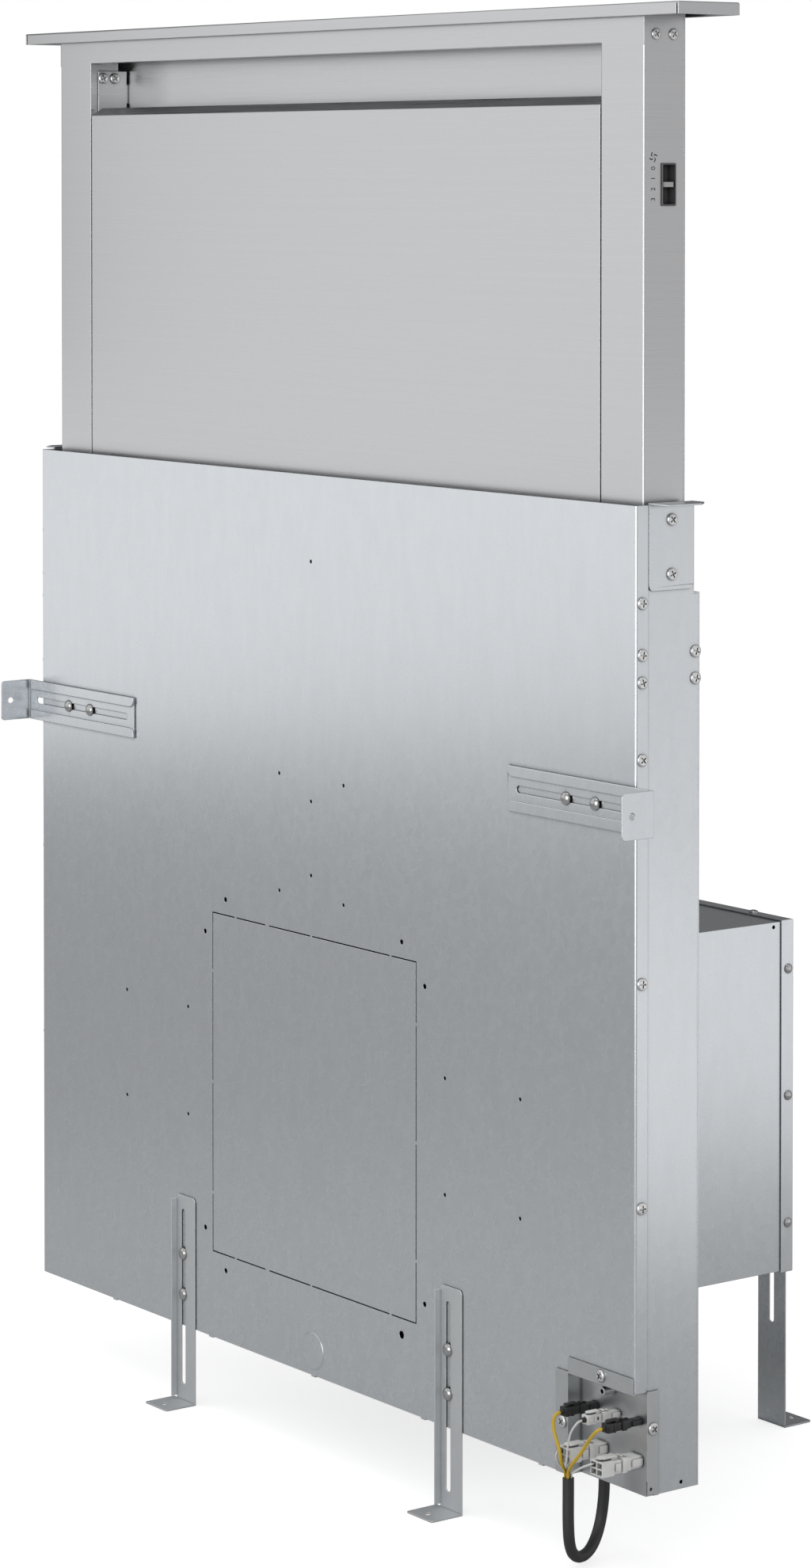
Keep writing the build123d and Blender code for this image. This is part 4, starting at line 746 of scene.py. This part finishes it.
# latch arm above the body, rounded at its free end and rooted near the joint
latchValues = {
    "armFrom": 0.2, "tipHalf": 0.36, "tipLong": 0.5, "rootLong": 0.8,     # shares of the latch's width
    "armRound": 0.45, "tipRound": 0.35,                                   # shares of its thickness
    "armGap": 0.0006,
    "tipIn": 0.0002,
    "rootEnd": 0.0004, "rootDown": 0.0008, "rootUp": 0.001,
}


def addLatch(shape, x, front, rear, top, wide, thick):
    values = latchValues
    low, high = top + values["armGap"], top + values["armGap"] + thick
    half, tipHalf = wide / 2, wide * values["tipHalf"]
    armFront, tipRear = front + wide * values["armFrom"], front + wide * values["tipLong"]
    tipHeight = (low + values["tipIn"], high - values["tipIn"])
    rootSpan = (rear - wide * values["rootLong"], rear - values["rootEnd"])
    addBlock(shape, (x - half, x + half), (armFront, rear), (low, high), thick * values["armRound"])
    addBlock(shape, (x - tipHalf, x + tipHalf), (front, tipRear), tipHeight, thick * values["tipRound"])
    addBlock(shape, (x - half, x + half), rootSpan, (top - values["rootDown"], top + values["rootUp"]))


def addSmallPlug(shape, place):
    x, front, z = place
    values, edge = smallPlug, plugValues["edge"]
    wide, tall = values["wide"] / 2, values["tall"] / 2
    rear = front + values["long"] - plugValues["gap"]
    noseWide, noseTall = wide - values["noseIn"][0], tall - values["noseIn"][1]
    tailWide, tailTall = wide - values["tailIn"][0], tall - values["tailIn"][1]
    collarFront, collarRear = (front + depth for depth in values["collar"])
    addCentred(shape, x, z, noseWide, noseTall, front, front + values["noseLong"], edge)
    addCentred(shape, x, z, wide, tall, collarFront, collarRear, edge)
    addCentred(shape, x, z, tailWide, tailTall, front + values["tailFrom"], rear, edge)
    railSpan, windowSpan = (tuple(front + depth for depth in values[key]) for key in ("rail", "window"))
    railHeight = (z - values["railHalf"], z + values["railHalf"])
    windowHeight = (z - values["windowLow"], z + values["windowHigh"])
    for side in (-1, 1):
        railAcross = flankSpan(x, side, wide, *values["railDepth"])
        windowAcross = flankSpan(x, side, wide, *values["windowDepth"])
        addBlock(shape, railAcross, railSpan, railHeight, values["railEdge"])
        addBlock(shape, windowAcross, windowSpan, windowHeight, finishIndex=1)
    latchFront, latchRear = front + values["latchFrom"], rear - values["latchEnd"]
    addLatch(shape, x, latchFront, latchRear, z + tall, values["latchWide"], values["latchThick"])
    addBoot(shape, place, 1)


def addLargePlug(shape, place):
    x, front, z = place
    values = largePlug
    wide, tall = values["wide"] / 2, values["tall"] / 2
    rear = front + values["long"] - plugValues["gap"]
    tailWide, tailTall = wide - values["tailIn"], tall - values["tailIn"]
    railSpan = (front + values["railFrom"], rear - values["railEnd"])
    railHeight = (z - values["railHalf"], z + values["railHalf"])
    depth = values["railDepth"]
    addCavityBlock(shape, x, z, wide, tall, front, front + values["noseLong"])
    addCentred(shape, x, z, tailWide, tailTall, front + values["tailFrom"], rear, plugValues["edge"])
    for side in (-1, 1):
        addBlock(shape, flankSpan(x, side, wide, depth, depth), railSpan, railHeight, depth)
    latchFront, latchRear = front + values["latchIn"], rear - values["latchIn"]
    addLatch(shape, x, latchFront, latchRear, z + tall, values["latchWide"], values["latchThick"])


# block whose front has two by two square cavities; their inner ends take the dark second finish, painted
# shade at the bottom of each cavity
def addCavityBlock(shape, x, z, wide, tall, front, rear):
    wall, deep = largePlug["cavityWall"], Vector((0, largePlug["cavityDeep"], 0))

    def wallLines(middle, half):
        return [middle - half, middle - half + wall, middle - wall / 2,
                middle + wall / 2, middle + half - wall, middle + half]
    across, upright = wallLines(x, wide), wallLines(z, tall)
    grid = [[shape.verts.new((place, front, height)) for place in across] for height in upright]
    last = len(across) - 1
    for row in range(last):
        for column in range(last):
            corners = grid[row][column:column + 2] + grid[row + 1][column:column + 2][::-1]
            if row % 2 and column % 2:
                inner = [shape.verts.new(corner.co + deep) for corner in corners]
                # painted shade: the inner end is dark plastic
                shape.faces.new(inner).material_index = 1
                for step in range(4):
                    after = (step + 1) % 4
                    shape.faces.new((corners[step], corners[after], inner[after], inner[step]))
            else:
                shape.faces.new(corners)
    low, high = [[shape.verts.new((place, rear, height)) for place in (x - wide, x + wide)]
                 for height in (z - tall, z + tall)]
    shape.faces.new((low[0], low[1], high[1], high[0]))
    shape.faces.new([low[0], low[1]] + grid[0][::-1])
    shape.faces.new([high[0], high[1]] + grid[last][::-1])
    shape.faces.new([low[0], high[0]] + [line[0] for line in reversed(grid)])
    shape.faces.new([low[1], high[1]] + [line[last] for line in reversed(grid)])


# socket from the joint to the panel: stepped shoulder, rib and keeper on top, neck and two catches
# each "half" here is a share of the plug's half width or half height
socketValues = {
    "shoulderLong": 0.0042,
    "bodyLong": 0.0075, "bodyIn": (0.0007, 0.0006),
    "rib": (0.0012, 0.0034), "ribHalf": 0.45, "ribHeight": (-0.0002, 0.0011),
    "keeper": (0.0046, 0.0068), "keeperHalf": 0.3, "keeperHeight": (-0.0008, 0.0007),
    "neckFrom": 0.007, "neckThrough": 0.003, "neckIn": 0.001, "neckEdge": 0.0002,
    "catchFrom": 0.0082, "catchClear": 0.0002, "catchHalf": 0.5, "catchDepth": (0.0012, 0.0001),
    "edge": 0.0003,
}


def addSocket(shape, place, plug):
    x, front, z = place
    values, edge = socketValues, plugValues["edge"]
    joint, plate = front + plug["long"], plugValues["plateFace"]
    wide, tall = plug["wide"] / 2, plug["tall"] / 2
    bodyWide, bodyTall = wide - values["bodyIn"][0], tall - values["bodyIn"][1]
    neckWide, neckTall = wide - values["neckIn"], tall - values["neckIn"]
    neckFront, neckRear = joint + values["neckFrom"], plate + values["neckThrough"]
    addCentred(shape, x, z, wide, tall, joint + plugValues["gap"], joint + values["shoulderLong"], edge)
    addCentred(shape, x, z, bodyWide, bodyTall, joint, joint + values["bodyLong"], edge)
    for key in ("rib", "keeper"):
        half = wide * values[key + "Half"]
        span = tuple(joint + depth for depth in values[key])
        height = tuple(z + tall + rise for rise in values[key + "Height"])
        addBlock(shape, (x - half, x + half), span, height, values["edge"])
    addCentred(shape, x, z, neckWide, neckTall, neckFront, neckRear, values["neckEdge"])
    catchSpan = (joint + values["catchFrom"], plate - values["catchClear"])
    catchTall = tall * values["catchHalf"]
    for side in (-1, 1):
        across = flankSpan(x, side, wide, *values["catchDepth"])
        addBlock(shape, across, catchSpan, (z - catchTall, z + catchTall), values["edge"])


def makeConnector(name, build, finish, node):
    item = newObject(name, meshFrom(name, build))
    item.data.materials.append(finish)
    item.data.materials.append(blackPlastic)
    smoothByAngle(item.data, plugValues["smoothUpTo"])
    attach(item, "housing")
    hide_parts(node)
    return item


blackFronts = [route[-1] for route in yellowRoutes]
whiteFront = whiteRoutes[0][-1]
yellowPlugs = [
    makeConnector(f"plugBlack{index}", lambda shape: addSmallPlug(shape, place), blackPlastic, "plugs_black")
    for index, place in enumerate(blackFronts)
]
whitePlugs = [
    makeConnector("plugWhite0", lambda shape: addSmallPlug(shape, whiteFront), whitePlastic, "plugs_white")
]
whitePlugs += [
    makeConnector(f"plugWhite{index}", lambda shape: addLargePlug(shape, place), whitePlastic, "plugs_white")
    for index, place in enumerate(reversed(largePlug["fronts"]), 1)
]


def buildBlackSockets(shape):
    for place in blackFronts:
        addSocket(shape, place, smallPlug)


def buildWhiteSockets(shape):
    addSocket(shape, whiteFront, smallPlug)
    for place in largePlug["fronts"]:
        addSocket(shape, place, largePlug)


makeConnector("socketsBlack", buildBlackSockets, blackPlastic, "panel_sockets_black")
makeConnector("socketsWhite", buildWhiteSockets, whitePlastic, "panel_sockets_white")
print("plugs made:", len(yellowPlugs) + len(whitePlugs), "with their sockets")


# printed marks beside the speed switch: the steps 0 to 3, turned a quarter, and a small fan

markValues = {
    "face": 0.3409, "y": -0.1309,
    "steps": {"0": 0.8832, "1": 0.8768, "2": 0.8702, "3": 0.8639},      # heights
    "digitSize": 0.00486,
    "inkThick": 0.00004,
    "fanHeight": 0.8901, "fanRadius": 0.0033,
    "armCount": 4, "armTurn": 20, "armSteps": 8,
    # shares of the fan's radius
    "hub": 0.16, "armRoot": 0.02, "armBow": 0.42, "armSweep": 0.7, "armWide": 0.16, "armFlare": 0.22,
}


def addDigit(joined, digit, height):
    text = bpy.data.curves.new("digit", "FONT")
    text.body = digit
    text.size = markValues["digitSize"]
    text.align_x = "CENTER"
    text.align_y = "CENTER"
    text.extrude = markValues["inkThick"]
    item = newObject("digit", text)
    bpy.context.view_layer.update()
    mesh = finalMesh(item)
    bpy.data.objects.remove(item)
    quarter = Matrix(((0, 0, 1, 0), (0, -1, 0, 0), (1, 0, 0, 0), (0, 0, 0, 1)))
    mesh.transform(Matrix.Translation((markValues["face"], markValues["y"], height)) @ quarter)
    joined.from_mesh(mesh)


# outline of one fan arm as (along, across), both in shares of the fan's radius
def armOutline(values):
    leading = []
    for step in range(values["armSteps"] + 1):
        along = step / values["armSteps"]
        bow = values["armBow"] * math.sin(math.pi * along ** values["armSweep"])
        leading.append((along, values["armRoot"] + bow))
    trailing = [(along, across - values["armWide"] - values["armFlare"] * along)
                for along, across in reversed(leading[1:-1])]
    return leading + trailing


def addFanArm(joined, angle):
    values = markValues
    verts = []
    for along, across in armOutline(values):
        reach = (values["hub"] + (1 - values["hub"]) * along) * values["fanRadius"]
        side = across * values["fanRadius"]
        y = values["y"] + reach * math.cos(angle) - side * math.sin(angle)
        z = values["fanHeight"] + reach * math.sin(angle) + side * math.cos(angle)
        verts.append(joined.verts.new((values["face"] - values["inkThick"], y, z)))
    base = joined.faces.new(verts)
    grown = bmesh.ops.extrude_face_region(joined, geom=[base])
    moved = [part for part in grown["geom"] if isinstance(part, bmesh.types.BMVert)]
    bmesh.ops.translate(joined, verts=moved, vec=(2 * values["inkThick"], 0, 0))


def buildMarks(joined):
    for digit, height in markValues["steps"].items():
        addDigit(joined, digit, height)
    for arm in range(markValues["armCount"]):
        addFanArm(joined, math.radians(markValues["armTurn"]) + 2 * math.pi * arm / markValues["armCount"])


marks = newObject("switchMarks", meshFrom("switchMarks", buildMarks))
marks.data.materials.append(ink)
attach(marks, "riser")
print("switch marks printed")


# studio: pale floor, soft boxes and a plain pale surrounding

studio = {
    "floorRadius": 3.2, "floorSides": 96,
    "floorDrop": 0.0002,       # below the feet
    "floorTone": 0.59,
    "floorRoughness": 0.9, "floorSpecular": 0.1,
    "floorLift": 0.7,          # what the camera sees on top of the lit floor
    "floorMirrored": 0.04,     # what metal sees on top of it
    "worldSeen": 1.0,          # behind the object, and in glass
    "worldMirrored": 0.5,      # what metal shows of the surrounding
    "worldShaded": 0.17,       # the same on the darker side of the room
    "shadedSide": (-0.8, 0.6, 0.1),
    "shadedFrom": (0.35, 0.72),
    "worldSoft": 0.58,         # even light from all round
}


def makeWorld(values):
    world = bpy.data.worlds.new("surrounding")
    scene.world = world
    world.use_nodes = True
    tree = world.node_tree
    tree.nodes.clear()
    paths = addNode(tree, "ShaderNodeLightPath")
    seen = addNode(tree, "ShaderNodeMath", operation="MAXIMUM")
    tree.links.new(paths.outputs["Is Camera Ray"], seen.inputs[0])
    tree.links.new(paths.outputs["Is Transmission Ray"], seen.inputs[1])
    around = addNode(tree, "ShaderNodeTexCoord")
    side = addNode(tree, "ShaderNodeVectorMath", operation="DOT_PRODUCT")
    side.inputs[1].default_value = values["shadedSide"]
    tree.links.new(around.outputs["Generated"], side.inputs[0])
    room = addNode(tree, "ShaderNodeMapRange", interpolation_type="SMOOTHSTEP")
    room.inputs["From Min"].default_value, room.inputs["From Max"].default_value = values["shadedFrom"]
    room.inputs["To Min"].default_value = values["worldMirrored"]
    room.inputs["To Max"].default_value = values["worldShaded"]
    tree.links.new(side.outputs["Value"], room.inputs["Value"])
    strength = addNode(tree, "ShaderNodeMix", data_type="FLOAT")
    strength.inputs["A"].default_value = values["worldSoft"]
    tree.links.new(room.outputs["Result"], strength.inputs["B"])
    tree.links.new(paths.outputs["Is Glossy Ray"], strength.inputs["Factor"])
    final = addNode(tree, "ShaderNodeMix", data_type="FLOAT")
    final.inputs["B"].default_value = values["worldSeen"]
    tree.links.new(strength.outputs["Result"], final.inputs["A"])
    tree.links.new(seen.outputs["Value"], final.inputs["Factor"])
    background = addNode(tree, "ShaderNodeBackground")
    background.inputs["Color"].default_value = (1, 1, 1, 1)
    tree.links.new(final.outputs["Result"], background.inputs["Strength"])
    output = addNode(tree, "ShaderNodeOutputWorld")
    tree.links.new(background.outputs["Background"], output.inputs["Surface"])


def makeFloor(values):
    sides, radius = values["floorSides"], values["floorRadius"]

    def build(shape):
        bmesh.ops.create_circle(shape, cap_ends=True, segments=sides, radius=radius)
    floor = newObject("floor", meshFrom("floor", build))
    material, tree, shader = newMaterial("floor")
    shader.inputs["Base Color"].default_value = (values["floorTone"],) * 3 + (1,)
    shader.inputs["Roughness"].default_value = values["floorRoughness"]
    shader.inputs["Specular IOR Level"].default_value = values["floorSpecular"]
    paths = addNode(tree, "ShaderNodeLightPath")
    seen = addNode(tree, "ShaderNodeMath", operation="MAXIMUM")
    tree.links.new(paths.outputs["Is Camera Ray"], seen.inputs[0])
    tree.links.new(paths.outputs["Is Transmission Ray"], seen.inputs[1])
    mirrored = addNode(tree, "ShaderNodeMath", operation="MULTIPLY")
    mirrored.inputs[1].default_value = values["floorMirrored"]
    tree.links.new(paths.outputs["Is Glossy Ray"], mirrored.inputs[0])
    lift = addNode(tree, "ShaderNodeMath", operation="MULTIPLY_ADD")
    lift.inputs[1].default_value = values["floorLift"]
    tree.links.new(seen.outputs["Value"], lift.inputs[0])
    tree.links.new(mirrored.outputs["Value"], lift.inputs[2])
    shader.inputs["Emission Color"].default_value = (1, 1, 1, 1)
    tree.links.new(lift.outputs["Value"], shader.inputs["Emission Strength"])
    floor.data.materials.append(material)
    floor.location.z = -values["floorDrop"]


# a flat lamp whose face is as bright as a surface of that tone; a mirrored one only shows in metal and gloss
def makeSoftBox(name, place, towards, size, brightness, mirrored=False):
    data = bpy.data.lights.new(name, "AREA")
    data.shape = "RECTANGLE"
    data.size, data.size_y = size
    data.energy = brightness * math.pi * size[0] * size[1]
    lamp = bpy.data.objects.new(name, data)
    lamp.location = place
    lamp.rotation_euler = (Vector(towards) - Vector(place)).to_track_quat("-Z", "Y").to_euler()
    lamp.visible_camera = False
    lamp.visible_diffuse = not mirrored
    scene.collection.objects.link(lamp)


softBoxes = {
    "frontLeftLow": {
        "place": (-0.82, -0.75, 0.515), "towards": (-0.1, -0.1, 0.515), "size": (1.7, 0.33),
        "brightness": 0.55,
    },
    "frontLeftHigh": {
        "place": (-0.636, -0.954, 1.32), "towards": (0.084, -0.304, 1.32), "size": (1.15, 1.28),
        "brightness": 0.57,
    },
    "backRightLow": {
        "place": (0.92, 0.46, 0.16), "towards": (0.35, 0.0, 0.16), "size": (1.3, 0.3), "brightness": 0.57,
        "mirrored": True,
    },
    "backRightMiddle": {
        "place": (0.92, 0.46, 0.485), "towards": (0.35, 0.0, 0.485), "size": (1.3, 0.34), "brightness": 0.38,
        "mirrored": True,
    },
    "backRightHigh": {
        "place": (0.92, 0.46, 1.1), "towards": (0.35, 0.0, 1.1), "size": (1.3, 0.9), "brightness": 0.18,
        "mirrored": True,
    },
    "overhead": {
        "place": (0.4, -0.5, 2.6), "towards": (0, 0, 0.5), "size": (1.6, 1.6), "brightness": 1.2,
    },
    "frontMiddle": {
        "place": (0.9, -2.23, 0.62), "towards": (0.35, -0.1, 0.6), "size": (1.9, 1.7), "brightness": 2.6,
        "mirrored": True,
    },
    "frontRight": {
        "place": (2.1, -1.35, 0.62), "towards": (0.35, -0.1, 0.6), "size": (1.1, 1.7), "brightness": 0.4,
        "mirrored": True,
    },
    "nearCamera": {
        "place": (2.0, -1.9, 1.6), "towards": (0, 0, 0.6), "size": (0.7, 1.0), "brightness": 1.6,
    },
}
makeWorld(studio)
makeFloor(studio)
for boxName, boxValues in softBoxes.items():
    makeSoftBox(boxName, **boxValues)
print("studio set")
